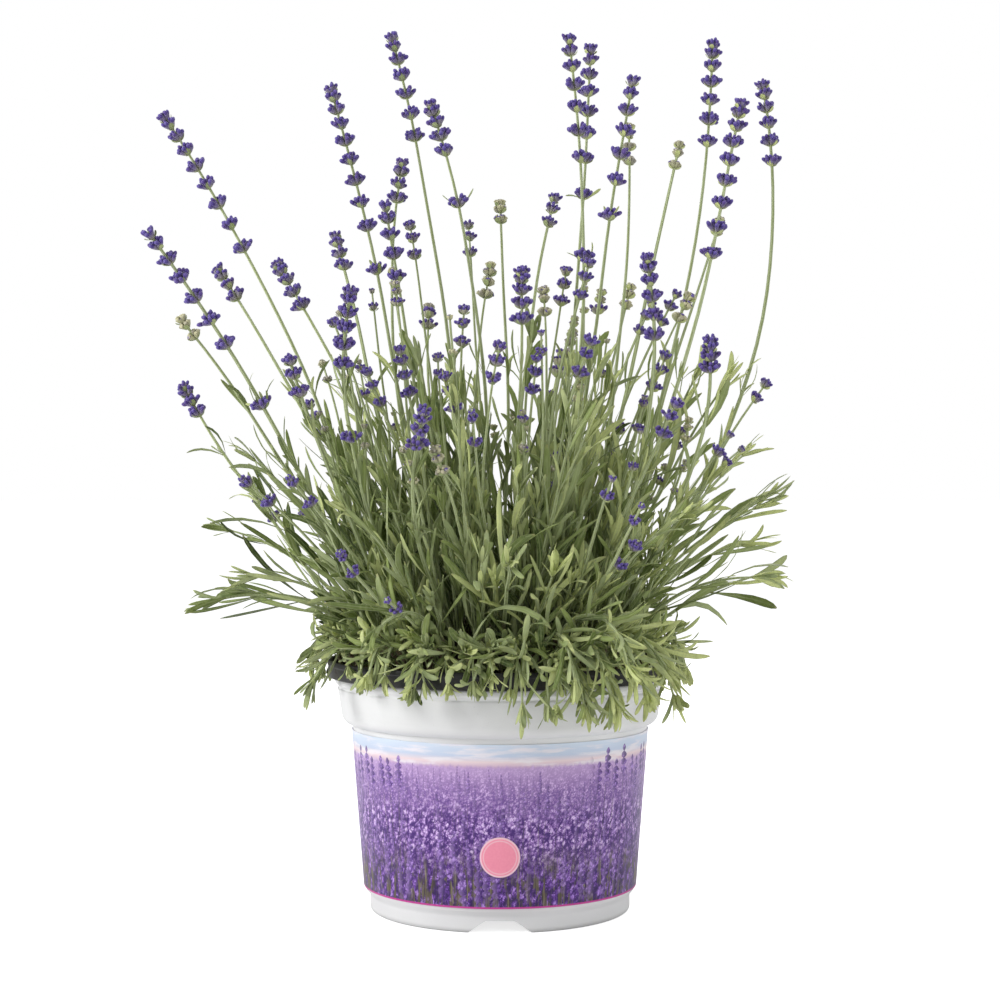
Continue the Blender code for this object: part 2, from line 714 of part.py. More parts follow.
def main():
    clear_scene()
    parts = make_collection("potted_lavender")
    cutters = make_collection("cutters")
    made = [
        make_cover_pot(parts, cutters),
        make_label(parts),
        make_badge(parts, cutters),
        make_grow_pot(parts, cutters),
        make_soil(parts),
        make_crown(parts, cutters),
    ]
    neighbours = [tree_of(mesh_of(obj)) for obj in made]
    stalk_material = make_material(*STALK_VIOLET)
    leaf_material = make_material(*LEAF_GREEN)
    for row in STALKS:
        stalk = make_stalk(row, parts, stalk_material)
        made.append(stalk)
        neighbours.append(tree_of(stalk.data))
    for row in SHOOTS:
        shoot = make_shoot(row, neighbours, parts, leaf_material)
        made.append(shoot)
        neighbours.append(tree_of(shoot.data))
    shade(made)


main()
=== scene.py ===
import math
import random

import bpy
import numpy as np
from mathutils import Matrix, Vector, noise


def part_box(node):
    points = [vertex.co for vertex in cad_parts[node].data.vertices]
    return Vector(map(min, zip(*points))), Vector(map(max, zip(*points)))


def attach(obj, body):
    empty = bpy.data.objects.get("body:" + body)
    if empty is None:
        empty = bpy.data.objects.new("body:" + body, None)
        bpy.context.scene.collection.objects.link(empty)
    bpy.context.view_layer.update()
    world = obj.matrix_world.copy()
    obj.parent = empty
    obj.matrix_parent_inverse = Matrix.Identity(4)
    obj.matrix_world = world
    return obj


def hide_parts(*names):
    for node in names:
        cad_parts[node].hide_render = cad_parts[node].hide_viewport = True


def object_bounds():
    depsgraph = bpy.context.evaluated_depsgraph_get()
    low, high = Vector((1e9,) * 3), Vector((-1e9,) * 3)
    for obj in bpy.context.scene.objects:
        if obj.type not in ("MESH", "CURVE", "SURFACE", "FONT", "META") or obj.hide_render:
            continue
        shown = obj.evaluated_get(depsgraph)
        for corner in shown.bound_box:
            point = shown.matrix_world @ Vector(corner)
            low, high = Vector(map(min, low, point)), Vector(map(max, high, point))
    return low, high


bl_info = {
    "name": "Potted Lavender",
    "version": (1, 0, 0),
    "blender": (4, 5, 0),
    "location": "View3D > Sidebar > Lavender",
    "description": "Builds a lavender plant in a grower's pot and a white cover pot, on a pale studio floor",
    "category": "Object",
}

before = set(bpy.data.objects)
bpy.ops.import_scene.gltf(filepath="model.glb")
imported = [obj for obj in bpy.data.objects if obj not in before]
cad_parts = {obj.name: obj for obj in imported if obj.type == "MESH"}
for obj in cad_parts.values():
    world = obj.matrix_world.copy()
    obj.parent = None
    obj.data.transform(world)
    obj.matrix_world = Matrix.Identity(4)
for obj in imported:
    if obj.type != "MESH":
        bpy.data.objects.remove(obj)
CAD_BOX = [list(corner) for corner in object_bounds()]
POT_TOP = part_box("cover_pot")[1][2]
SOIL_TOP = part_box("soil")[1][2]
SOIL_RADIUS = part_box("soil")[1][0]

# Flower stalks: tip (x, y, height above the soil), middle of the stem (x, y), length of the spike,
# number of its whorls, how far below the tip a lone whorl sits, and how green the spike is (0 to 1)
STALKS = [
    ((-0.195, -0.020, 0.323), (-0.110, -0.012), 0.085, 8, None, 0.0),
    ((-0.187, -0.120, 0.243), (-0.115, -0.070), 0.070, 6, 0.108, 0.0),
    ((-0.175, 0.060, 0.243), (-0.105, 0.038), 0.022, 3, None, 0.3),
    ((-0.180, -0.060, 0.203), (-0.112, -0.038), 0.014, 2, None, 1.0),
    ((-0.190, 0.020, 0.168), (-0.135, 0.012), 0.022, 3, None, 0.0),
    ((-0.135, 0.030, 0.243), (-0.075, 0.018), 0.030, 4, None, 0.1),
    ((-0.115, -0.090, 0.178), (-0.085, -0.060), 0.024, 2, None, 0.2),
    ((-0.105, 0.095, 0.268), (-0.070, 0.058), 0.024, 3, None, 0.1),
    ((-0.100, 0.000, 0.343), (-0.060, 0.000), 0.086, 8, 0.112, 0.0),
    ((-0.060, 0.055, 0.308), (-0.062, 0.034), 0.026, 3, None, 0.1),
    ((-0.065, -0.045, 0.268), (-0.045, -0.030), 0.044, 4, None, 0.0),
    ((-0.065, 0.020, 0.378), (-0.030, 0.012), 0.064, 6, None, 0.0),
    ((-0.040, -0.030, 0.328), (-0.008, -0.022), 0.030, 4, 0.060, 0.2),
    ((-0.080, -0.110, 0.213), (-0.078, -0.072), 0.046, 5, 0.090, 0.0),
    ((0.000, 0.045, 0.283), (0.004, 0.034), 0.014, 2, None, 1.0),
    ((0.035, 0.100, 0.293), (0.012, 0.064), 0.020, 2, None, 0.2),
    ((0.040, -0.020, 0.368), (0.046, -0.014), 0.072, 6, 0.130, 0.0),
    ((0.055, 0.030, 0.373), (0.042, 0.026), 0.070, 6, 0.092, 0.0),
    ((0.075, -0.050, 0.338), (0.050, -0.036), 0.060, 5, 0.080, 0.0),
    ((0.080, 0.065, 0.333), (0.070, 0.044), 0.026, 3, None, 0.8),
    ((0.115, 0.100, 0.328), (0.078, 0.066), 0.018, 2, None, 0.8),
    ((0.125, -0.005, 0.368), (0.102, -0.004), 0.062, 6, None, 0.0),
    ((0.135, -0.060, 0.323), (0.100, -0.042), 0.090, 8, None, 0.0),
    ((0.160, 0.040, 0.353), (0.150, 0.028), 0.054, 5, None, 0.0),
    ((0.080, -0.090, 0.233), (0.078, -0.060), 0.048, 5, None, 0.0),
    ((0.115, -0.085, 0.188), (0.100, -0.060), 0.020, 3, None, 0.0),
    ((0.012, -0.070, 0.228), (0.010, -0.048), 0.030, 4, None, 0.2),
    ((-0.040, -0.125, 0.148), (-0.044, -0.082), 0.024, 3, None, 0.3),
]

# Leafy shoots: tip as above, and how far the middle is raised above the straight line
SHOOTS = [
    ((-0.165, -0.035, 0.043), 0.016),
    ((-0.170, 0.040, 0.083), 0.014),
    ((-0.150, -0.005, 0.128), 0.012),
    ((-0.140, -0.072, 0.058), 0.014),
    ((-0.120, 0.095, 0.093), 0.014),
    ((-0.085, -0.125, 0.098), 0.012),
    ((-0.065, -0.132, 0.033), 0.018),
    ((-0.025, -0.100, 0.158), 0.010),
    ((0.005, -0.140, 0.068), 0.016),
    ((0.040, -0.115, 0.143), 0.010),
    ((0.065, -0.130, 0.028), 0.020),
    ((0.100, -0.110, 0.093), 0.012),
    ((0.145, -0.080, 0.058), 0.014),
    ((0.155, -0.010, 0.098), 0.014),
    ((0.162, 0.110, 0.133), 0.012),
    ((0.155, 0.055, 0.073), 0.014),
    ((0.085, 0.125, 0.093), 0.014),
    ((0.025, 0.135, 0.108), 0.014),
    ((-0.050, 0.130, 0.108), 0.014),
    ((-0.015, 0.085, 0.168), 0.008),
    ((0.120, 0.020, 0.178), 0.008),
    ((-0.090, 0.060, 0.158), 0.010),
    ((0.055, -0.065, 0.173), 0.008),
]
WIDEST_TIP = max(math.hypot(row[0][0], row[0][1]) for row in STALKS + SHOOTS)

# Thin side stems, each with one small spike: tip, number of its whorls, how green the spike is
SIDE_SPIKES = [
    ((-0.055, 0.040, 0.268), 2, 0.3),
    ((-0.020, 0.075, 0.273), 2, 0.2),
    ((-0.075, -0.060, 0.173), 2, 0.0),
    ((-0.055, -0.090, 0.183), 3, 0.1),
    ((0.140, 0.090, 0.278), 1, 1.0),
    ((0.085, 0.120, 0.238), 2, 0.9),
    ((0.110, 0.060, 0.228), 2, 0.2),
    ((0.110, -0.030, 0.218), 2, 0.9),
    ((0.025, -0.020, 0.223), 2, 0.9),
    ((0.020, -0.105, 0.178), 2, 0.0),
    ((-0.005, -0.010, 0.238), 3, 0.9),
    ((0.045, 0.060, 0.203), 2, 0.8),
    ((0.050, -0.070, 0.233), 2, 0.0),
    ((0.065, 0.100, 0.233), 2, 0.7),
    ((0.050, -0.095, 0.188), 2, 0.1),
    ((0.040, 0.110, 0.193), 2, 0.6),
    ((-0.035, -0.110, 0.128), 2, 0.9),
    ((-0.085, -0.125, 0.073), 2, 0.0),
    ((-0.145, -0.070, 0.113), 2, 0.0),
    ((-0.150, 0.040, 0.103), 2, 0.2),
    ((-0.115, -0.100, 0.113), 2, 0.0),
    ((-0.125, 0.060, 0.093), 2, 0.0),
    ((0.095, -0.110, 0.153), 2, 0.0),
    ((0.075, -0.130, 0.098), 1, 0.0),
    ((0.075, -0.100, 0.078), 2, 0.0),
    ((0.130, -0.060, 0.138), 1, 0.0),
    ((0.165, 0.050, 0.173), 1, 0.0),
    ((0.155, 0.090, 0.133), 1, 0.0),
    ((-0.095, -0.050, 0.203), 1, 0.0),
    ((-0.045, 0.090, 0.223), 2, 0.6),
    ((0.040, 0.020, 0.238), 2, 0.5),
    ((0.095, 0.070, 0.223), 2, 0.0),
    ((-0.020, -0.060, 0.208), 2, 0.5),
    ((0.000, -0.115, 0.183), 2, 0.3),
    ((-0.030, -0.100, 0.168), 2, 0.2),
    ((-0.015, -0.120, 0.148), 2, 0.1),
    ((0.060, -0.125, 0.113), 1, 0.1),
    ((-0.060, -0.130, 0.048), 1, 0.0),
    ((0.095, -0.040, 0.183), 2, 0.1),
    ((-0.115, 0.020, 0.158), 2, 0.1),
]

# Sprays that hang over the rim: tip, and how far the middle is raised
RIM_SPRAYS = [
    ((0.060, -0.122, -0.008), 0.026),
    ((0.078, -0.112, -0.004), 0.022),
    ((0.040, -0.124, 0.002), 0.024),
    ((0.092, -0.096, 0.004), 0.022),
    ((0.068, -0.126, 0.010), 0.020),
    ((0.012, -0.119, -0.012), 0.026),
    ((-0.106, -0.056, -0.006), 0.024),
    ((-0.070, 0.112, 0.006), 0.024),
    ((0.020, 0.134, 0.004), 0.024),
    ((0.095, 0.098, 0.002), 0.024),
]

# Foliage between the named shoots: number of shoots, radius of the ring they leave the soil on,
# lean from upright at the root and at the tip in degrees, shortest and longest shoot, how far the
# leaves stand off their stem, how far they bend, how far the outer ones droop, and their width
FOLIAGE_RINGS = {
    "foliage_rim": (78, 0.090, 4, 78, 0.020, 0.036, 0.95, 0.10, 1.35, 0.0048),
    "foliage_low": (28, 0.066, 18, 46, 0.045, 0.080, 0.66, 0.25, 0.5, 0.0042),
    "foliage_middle": (25, 0.056, 10, 32, 0.075, 0.125, 0.56, -0.05, 0.2, 0.0040),
    "foliage_upper": (10, 0.044, 6, 25, 0.100, 0.165, 0.44, -0.10, 0.0, 0.0040),
    "foliage_heart": (7, 0.026, 2, 14, 0.100, 0.180, 0.40, -0.05, 0.0, 0.0040),
}

# Young stalks that stand bare above the leaves: number, lowest and highest tip above the soil
YOUNG_STALKS = (40, 0.115, 0.235)

# Shoots with long single leaves that stand clear of the foliage: tip, and length of the leaves
TALL_LEAVES = [
    ((0.142, -0.005, 0.186), 0.050),
    ((0.165, -0.020, 0.112), 0.052),
    ((0.168, 0.012, 0.060), 0.050),
    ((0.100, -0.040, 0.150), 0.050),
    ((0.056, -0.030, 0.200), 0.048),
    ((0.020, 0.010, 0.222), 0.046),
    ((-0.022, -0.060, 0.176), 0.048),
    ((-0.050, -0.045, 0.202), 0.044),
    ((-0.112, -0.020, 0.152), 0.048),
    ((-0.150, 0.004, 0.110), 0.050),
    ((-0.158, -0.020, 0.050), 0.048),
    ((-0.030, 0.080, 0.190), 0.046),
    ((0.060, 0.095, 0.170), 0.048),
    ((-0.100, 0.075, 0.140), 0.048),
]

# Short shoots that arch over both rims and hang in front of them: number, height of the arch above
# the soil, reach of the tips from the axis, and their height above the soil
RIM_DRAPE = (84, 0.0160, 0.1125, -0.0015)


class PotSizes(bpy.types.PropertyGroup):
    height: bpy.props.FloatProperty(
        name="Height", description="Height of the cover pot", default=POT_TOP, unit="LENGTH"
    )
    rim_radius: bpy.props.FloatProperty(
        name="Rim radius", description="Radius of the rim band", default=0.0956, unit="LENGTH"
    )
    wall: bpy.props.FloatProperty(
        name="Wall", description="Thickness of the cover pot's wall", default=0.0018, unit="LENGTH"
    )
    badge_radius: bpy.props.FloatProperty(
        name="Badge radius", description="Radius of the round badge", default=0.0112, unit="LENGTH"
    )


class PlantSizes(bpy.types.PropertyGroup):
    leaf_length: bpy.props.FloatProperty(
        name="Leaf length", description="Length of a full-grown leaf", default=0.049, unit="LENGTH"
    )
    leaf_width: bpy.props.FloatProperty(
        name="Leaf width", description="Width of a full-grown leaf", default=0.0038, unit="LENGTH"
    )
    bud_length: bpy.props.FloatProperty(
        name="Bud length", description="Length of a flower bud", default=0.0031, unit="LENGTH"
    )
    calyx_length: bpy.props.FloatProperty(
        name="Calyx length", description="Length of a bud's calyx", default=0.0045, unit="LENGTH"
    )
    stem_radius: bpy.props.FloatProperty(
        name="Stem radius", description="Radius of a stem at the soil", default=0.0016, unit="LENGTH"
    )
    seed: bpy.props.IntProperty(name="Seed", description="Seed of the plant's random growth", default=11)


def colour_choice(name, description, rgb):
    """A colour that the panel offers, in linear red, green and blue."""
    return bpy.props.FloatVectorProperty(
        name=name, description=description, default=rgb, subtype="COLOR", size=3, min=0, max=1
    )


class PlantColours(bpy.types.PropertyGroup):
    pot: colour_choice("Pot", "White plastic of the cover pot", (0.82, 0.82, 0.82))
    badge: colour_choice("Badge", "Pink of the round badge", (0.98, 0.31, 0.43))
    grow_pot: colour_choice("Grower's pot", "Black plastic of the inner pot", (0.016, 0.016, 0.017))
    soil: colour_choice("Soil", "Dark peat", (0.035, 0.021, 0.013))
    leaf_light: colour_choice("Young leaf", "Young leaves", (0.64, 0.70, 0.29))
    leaf_middle: colour_choice("Leaf", "Full-grown leaves", (0.26, 0.33, 0.095))
    leaf_dark: colour_choice("Old leaf", "Old leaves", (0.050, 0.085, 0.018))
    stem: colour_choice("Stem", "Green stems", (0.47, 0.56, 0.21))
    bud: colour_choice("Bud", "Violet buds", (0.10, 0.058, 0.33))
    calyx: colour_choice("Calyx", "Foot of the calyx", (0.34, 0.37, 0.13))


def pot_sizes():
    """The pot's choices in this scene."""
    return bpy.context.scene.lavender_pot


def plant_sizes():
    """The plant's choices in this scene."""
    return bpy.context.scene.lavender_plant


def colours():
    """The colours chosen in this scene."""
    return bpy.context.scene.lavender_colours


# Materials


class Finish:
    """A node material, built from its shader backwards."""

    def __init__(self, name, roughness, **sockets):
        self.material = bpy.data.materials.new(name)
        self.material.use_nodes = True
        self.tree = self.material.node_tree
        self.shader = self.tree.nodes["Principled BSDF"]
        self.shader.inputs["Roughness"].default_value = roughness
        for socket, value in sockets.items():
            self.shader.inputs[socket.replace("_", " ")].default_value = value

    def node(self, kind, **settings):
        """A new shader node with these settings."""
        node = self.tree.nodes.new("ShaderNode" + kind)
        for setting, value in settings.items():
            setattr(node, setting, value)
        return node

    def feed(self, socket, value):
        """Links another node's output to the socket, or sets the socket to a value."""
        if isinstance(value, bpy.types.NodeSocket):
            self.tree.links.new(value, socket)
        elif isinstance(value, (tuple, list)) and len(value) == 3 and socket.type == "RGBA":
            socket.default_value = (*value, 1.0)
        else:
            socket.default_value = value

    def math(self, operation, *values):
        node = self.node("Math", operation=operation)
        for socket, value in zip(node.inputs, values):
            self.feed(socket, value)
        return node.outputs[0]

    def vector_math(self, operation, *values):
        node = self.node("VectorMath", operation=operation)
        for socket, value in zip(node.inputs, values):
            self.feed(socket, value)
        return node.outputs[0]

    def smooth(self, value, low, high, start=0.0, end=1.0):
        """start below low, end above high, and a soft step between them."""
        node = self.node("MapRange", interpolation_type="SMOOTHSTEP")
        for socket, number in zip(node.inputs, (value, low, high, start, end)):
            self.feed(socket, number)
        return node.outputs[0]

    def mix(self, share, first, second, blend="MIX"):
        """The first colour at share 0 and the second at share 1."""
        node = self.node("Mix", data_type="RGBA", blend_type=blend)
        self.feed(node.inputs["Factor"], share)
        self.feed(node.inputs[6], first)
        self.feed(node.inputs[7], second)
        return node.outputs[2]

    def ramp(self, value, stops):
        """A colour that follows the value through the stops, each a value and its colour."""
        node = self.node("ValToRGB")
        elements = node.color_ramp.elements
        while len(elements) < len(stops):
            elements.new(0.5)
        for element, (place, colour) in zip(elements, stops):
            element.position = place
            element.color = (*colour, 1.0)
        self.feed(node.inputs[0], value)
        return node.outputs[0]

    def product(self, *values):
        """All the values multiplied together."""
        result = values[0]
        for value in values[1:]:
            result = self.math("MULTIPLY", result, value)
        return result

    def object_place(self):
        """The place of a point in metres, in its object's own axes."""
        return self.node("TexCoord").outputs["Object"]

    def axes(self, vector):
        """The three components of a vector."""
        node = self.node("SeparateXYZ")
        self.feed(node.inputs[0], vector)
        return tuple(node.outputs)

    def mark(self, name):
        """One of the values that Gathering keeps at each point of a piece."""
        return self.node("Attribute", attribute_name=name).outputs["Fac"]

    def noise(self, vector, scale, detail=3.0, roughness=0.5):
        """Cloudy noise from 0 to 1, with about scale clouds per metre."""
        node = self.node("TexNoise")
        self.feed(node.inputs["Vector"], vector)
        self.feed(node.inputs["Scale"], scale)
        self.feed(node.inputs["Detail"], detail)
        self.feed(node.inputs["Roughness"], roughness)
        return node.outputs[0]

    def cells(self, vector, scale, output="Distance"):
        """Distance to the middle of the nearest of many scattered cells, or its random colour."""
        node = self.node("TexVoronoi")
        self.feed(node.inputs["Vector"], vector)
        self.feed(node.inputs["Scale"], scale)
        return node.outputs[output]

    def stretched(self, vector, scale):
        """The vector with each axis scaled, so that a pattern on it is squeezed."""
        node = self.node("Mapping")
        self.feed(node.inputs["Vector"], vector)
        node.inputs["Scale"].default_value = scale
        return node.outputs[0]

    def finish(self, colour, height=None, depth=0.0, strength=1.0, roughness=None):
        """The material with this colour, and with height as a bump up to depth metres high."""
        self.feed(self.shader.inputs["Base Color"], colour)
        if roughness is not None:
            self.feed(self.shader.inputs["Roughness"], roughness)
        if height is not None:
            bump = self.node("Bump")
            bump.inputs["Distance"].default_value = depth
            bump.inputs["Strength"].default_value = strength
            self.feed(bump.inputs["Height"], height)
            self.feed(self.shader.inputs["Normal"], bump.outputs[0])
        return self.material


def once(make):
    """A finish is made the first time a piece asks for it, and shared after that."""
    made = []

    def finish():
        if not made:
            made.append(make())
        return made[0]

    return finish


def lighter(colour, share):
    """The colour, moved by share of the way to white."""
    return tuple(channel + (1 - channel) * share for channel in colour)


def darker(colour, share):
    """The colour, moved by share of the way to black."""
    return tuple(channel * (1 - share) for channel in colour)


@once
def cover_pot_plastic():
    """White plastic with faint flow marks and specks, and painted shade that greys the edge of its foot."""
    f = Finish("cover_pot_plastic", 0.34, Specular_IOR_Level=0.45, Coat_Weight=0.15, Coat_Roughness=0.22)
    place = f.object_place()
    white = tuple(colours().pot)
    flow = f.noise(f.stretched(place, (1, 1, 3)), 26, 4)
    colour = f.mix(f.smooth(flow, 0.35, 0.7), darker(white, 0.03), white)
    specks = f.smooth(f.noise(place, 900, 2), 0.68, 0.74)
    colour = f.mix(f.math("MULTIPLY", specks, 0.25), colour, darker(white, 0.25))
    height = f.axes(place)[2]
    # Painted shade: the lowest three millimetres of the foot darken towards the floor
    colour = f.mix(f.smooth(height, 0.0035, 0.0004, 0.0, 0.55), colour, darker(white, 0.55))
    grain = f.math("ADD", f.noise(place, 1400, 2), f.math("MULTIPLY", f.noise(place, 90, 3), 0.6))
    rough = f.smooth(f.noise(place, 40, 4), 0.3, 0.7, 0.30, 0.40)
    return f.finish(colour, grain, 0.00012, 0.35, rough)


@once
def grow_pot_plastic():
    """Black plastic with a fine grain and some dry dust."""
    f = Finish("grow_pot_plastic", 0.5)
    place = f.object_place()
    black = tuple(colours().grow_pot)
    dust = f.smooth(f.noise(place, 120, 6, 0.7), 0.5, 0.72)
    colour = f.mix(f.math("MULTIPLY", dust, 0.45), black, (0.09, 0.075, 0.06))
    rough = f.smooth(dust, 0, 1, 0.42, 0.75)
    return f.finish(colour, f.noise(place, 700, 3), 0.0002, 0.5, rough)


@once
def potting_soil():
    """Dark peat with paler clods, fibres and a few grains of perlite."""
    f = Finish("potting_soil", 0.95, Specular_IOR_Level=0.2)
    place = f.object_place()
    brown = tuple(colours().soil)
    clods = f.noise(place, 160, 8, 0.75)
    fibres = f.noise(f.stretched(place, (1, 5, 2)), 380, 4, 0.7)
    dry, dusty = (0.085, 0.052, 0.030), (0.16, 0.11, 0.07)
    colour = f.ramp(clods, [(0.32, darker(brown, 0.6)), (0.5, brown), (0.62, dry), (0.74, dusty)])
    colour = f.mix(f.smooth(fibres, 0.60, 0.70), colour, (0.19, 0.12, 0.065))
    perlite = f.smooth(f.cells(place, 210), 0.16, 0.10)
    chosen = f.smooth(f.noise(place, 60, 2), 0.60, 0.64)
    colour = f.mix(f.math("MULTIPLY", perlite, chosen), colour, (0.42, 0.38, 0.32))
    return f.finish(colour, f.math("ADD", clods, fibres), 0.0016, 0.9)


@once
def crown_bark():
    """Grey-brown bark, cracked along the stems."""
    f = Finish("crown_bark", 0.85)
    place = f.object_place()
    fissures = f.noise(f.stretched(place, (1, 1, 0.16)), 520, 6, 0.7)
    crack, bark, ridge = (0.028, 0.018, 0.010), (0.12, 0.08, 0.05), (0.26, 0.19, 0.13)
    colour = f.ramp(fissures, [(0.34, crack), (0.48, bark), (0.66, ridge)])
    return f.finish(colour, fissures, 0.0012, 0.9)


@once
def leaf_green():
    """Leaves from dark to light green, with a pale midrib, margins and underside."""
    f = Finish("leaf_green", 0.60, Specular_IOR_Level=0.25, Sheen_Weight=0.10, Sheen_Roughness=0.45)
    c = colours()
    place = f.object_place()
    along, across, tone, under = (f.mark(name) for name in ("along", "across", "tone", "under"))
    patch = f.noise(place, 85, 3)
    # tone also carries the painted light on the plant's right and the painted shade on its left
    shade = f.math("ADD", tone, f.math("MULTIPLY", f.math("SUBTRACT", patch, 0.5), 0.5))
    colour = f.ramp(
        shade,
        [
            (0.02, tuple(c.leaf_dark)),
            (0.42, tuple(c.leaf_middle)),
            (0.72, tuple(lighter(c.leaf_middle, 0.13))),
            (1.0, tuple(c.leaf_light)),
        ],
    )
    side = f.math("ABSOLUTE", across)
    veins = f.noise(f.stretched(place, (1, 1, 0.25)), 900, 3, 0.6)
    colour = f.mix(f.smooth(veins, 0.42, 0.7, 0.0, 0.35), colour, (0.36, 0.41, 0.16))
    midrib = f.math("MULTIPLY", f.smooth(side, 0.26, 0.02), f.smooth(along, 0.97, 0.6))
    colour = f.mix(f.math("MULTIPLY", midrib, 0.38), colour, (0.50, 0.56, 0.30))
    colour = f.mix(f.smooth(side, 0.72, 1.0, 0.0, 0.34), colour, (0.44, 0.49, 0.24))
    colour = f.mix(f.smooth(under, 0.4, 0.6, 0.0, 0.42), colour, (0.38, 0.42, 0.22))
    colour = f.mix(f.smooth(along, 0.16, 0.0, 0.0, 0.55), colour, (0.40, 0.42, 0.17))
    colour = f.mix(f.smooth(along, 0.93, 1.0, 0.0, 0.5), colour, (0.42, 0.38, 0.17))
    felt = f.noise(place, 2600, 2)
    height = f.math("ADD", f.math("MULTIPLY", veins, 0.8), f.math("MULTIPLY", felt, 0.5))
    return f.finish(colour, height, 0.00022, 0.55)


@once
def stem_green():
    """Green stems, paler on their ridges and brown at their foot."""
    f = Finish("stem_green", 0.58, Specular_IOR_Level=0.3, Sheen_Weight=0.12)
    place = f.object_place()
    along, ridge, tone, wood = (f.mark(name) for name in ("along", "across", "tone", "under"))
    green = tuple(colours().stem)
    streaks = f.noise(f.stretched(place, (1, 1, 0.05)), 1300, 4, 0.6)
    colour = f.mix(f.smooth(ridge, 0.1, 0.9), darker(green, 0.42), lighter(green, 0.16))
    colour = f.mix(f.smooth(streaks, 0.4, 0.66, 0.0, 0.45), colour, lighter(green, 0.34))
    colour = f.mix(f.math("MULTIPLY", tone, 0.45), colour, (0.20, 0.24, 0.10))
    bark = f.ramp(streaks, [(0.38, (0.075, 0.050, 0.030)), (0.62, (0.25, 0.19, 0.12))])
    colour = f.mix(f.smooth(wood, 0.25, 0.75), colour, bark)
    return f.finish(colour, streaks, 0.00025, 0.6)


@once
def calyx_felt():
    """Felted calyces: green at the foot, violet towards the mouth."""
    f = Finish("calyx_felt", 0.7, Specular_IOR_Level=0.2, Sheen_Weight=0.35, Sheen_Roughness=0.4)
    place = f.object_place()
    along, rib, tone, green = (f.mark(name) for name in ("along", "across", "tone", "under"))
    foot = tuple(colours().calyx)
    grey, lilac, dusk = (0.24, 0.23, 0.17), (0.15, 0.115, 0.28), (0.10, 0.065, 0.26)
    violet = f.ramp(along, [(0.0, foot), (0.30, grey), (0.62, lilac), (1.0, dusk)])
    pale = f.ramp(along, [(0.0, (0.36, 0.39, 0.15)), (0.5, (0.50, 0.50, 0.24)), (1.0, (0.60, 0.57, 0.32))])
    colour = f.mix(green, violet, pale)
    colour = f.mix(f.smooth(rib, 0.3, 0.9, 0.0, 0.35), colour, (0.30, 0.27, 0.32), "SCREEN")
    colour = f.mix(f.smooth(tone, 0.4, 1.0, 0.0, 0.4), colour, (0.15, 0.12, 0.20))
    down = f.noise(place, 2600, 3)
    colour = f.mix(f.smooth(down, 0.55, 0.7, 0.0, 0.3), colour, (0.50, 0.47, 0.55))
    return f.finish(colour, down, 0.00025, 0.7)


@once
def bud_violet():
    """Violet buds, darker at the foot and paler at the tip."""
    f = Finish("bud_violet", 0.55, Specular_IOR_Level=0.3, Sheen_Weight=0.4, Sheen_Roughness=0.4)
    place = f.object_place()
    along, fold, tone = (f.mark(name) for name in ("along", "across", "tone"))
    violet = tuple(colours().bud)
    bright, pale = (0.16, 0.115, 0.46), (0.25, 0.19, 0.55)
    colour = f.ramp(along, [(0.0, darker(violet, 0.45)), (0.45, violet), (0.85, bright), (1.0, pale)])
    colour = f.mix(f.smooth(fold, 0.2, 0.9, 0.0, 0.4), colour, darker(violet, 0.6))
    colour = f.mix(f.smooth(tone, 0.55, 1.0, 0.0, 0.45), colour, (0.115, 0.055, 0.22))
    down = f.noise(place, 2200, 3)
    colour = f.mix(f.smooth(down, 0.52, 0.72, 0.0, 0.4), colour, (0.36, 0.29, 0.66))
    return f.finish(colour, down, 0.00022, 0.6)


@once
def badge_pink():
    """Pink print with a pale ring near its rim."""
    f = Finish("badge_pink", 0.4, Specular_IOR_Level=0.4)
    place = f.object_place()
    pink = tuple(colours().badge)
    centre = f.vector_math("SUBTRACT", place, (0.0, 0.0, LABEL_LOW + BADGE_RISE))
    flat = f.vector_math("MULTIPLY", centre, (1.0, 0.0, 1.0))
    length = f.node("VectorMath", operation="LENGTH")
    f.feed(length.inputs[0], flat)
    reach = length.outputs["Value"]
    radius = pot_sizes().badge_radius
    rim = f.smooth(reach, radius * 0.90, radius * 0.93)
    fibre = f.noise(place, 700, 4)
    body = f.mix(f.smooth(fibre, 0.35, 0.65), darker(pink, 0.025), lighter(pink, 0.025))
    ring = f.product(
        f.smooth(reach, radius * 0.78, radius * 0.80), f.smooth(reach, radius * 0.86, radius * 0.84)
    )
    colour = f.mix(f.math("MULTIPLY", ring, 0.55), body, (0.98, 0.70, 0.76))
    colour = f.mix(rim, colour, (0.98, 0.62, 0.70))
    return f.finish(colour, fibre, 0.00004, 0.3)


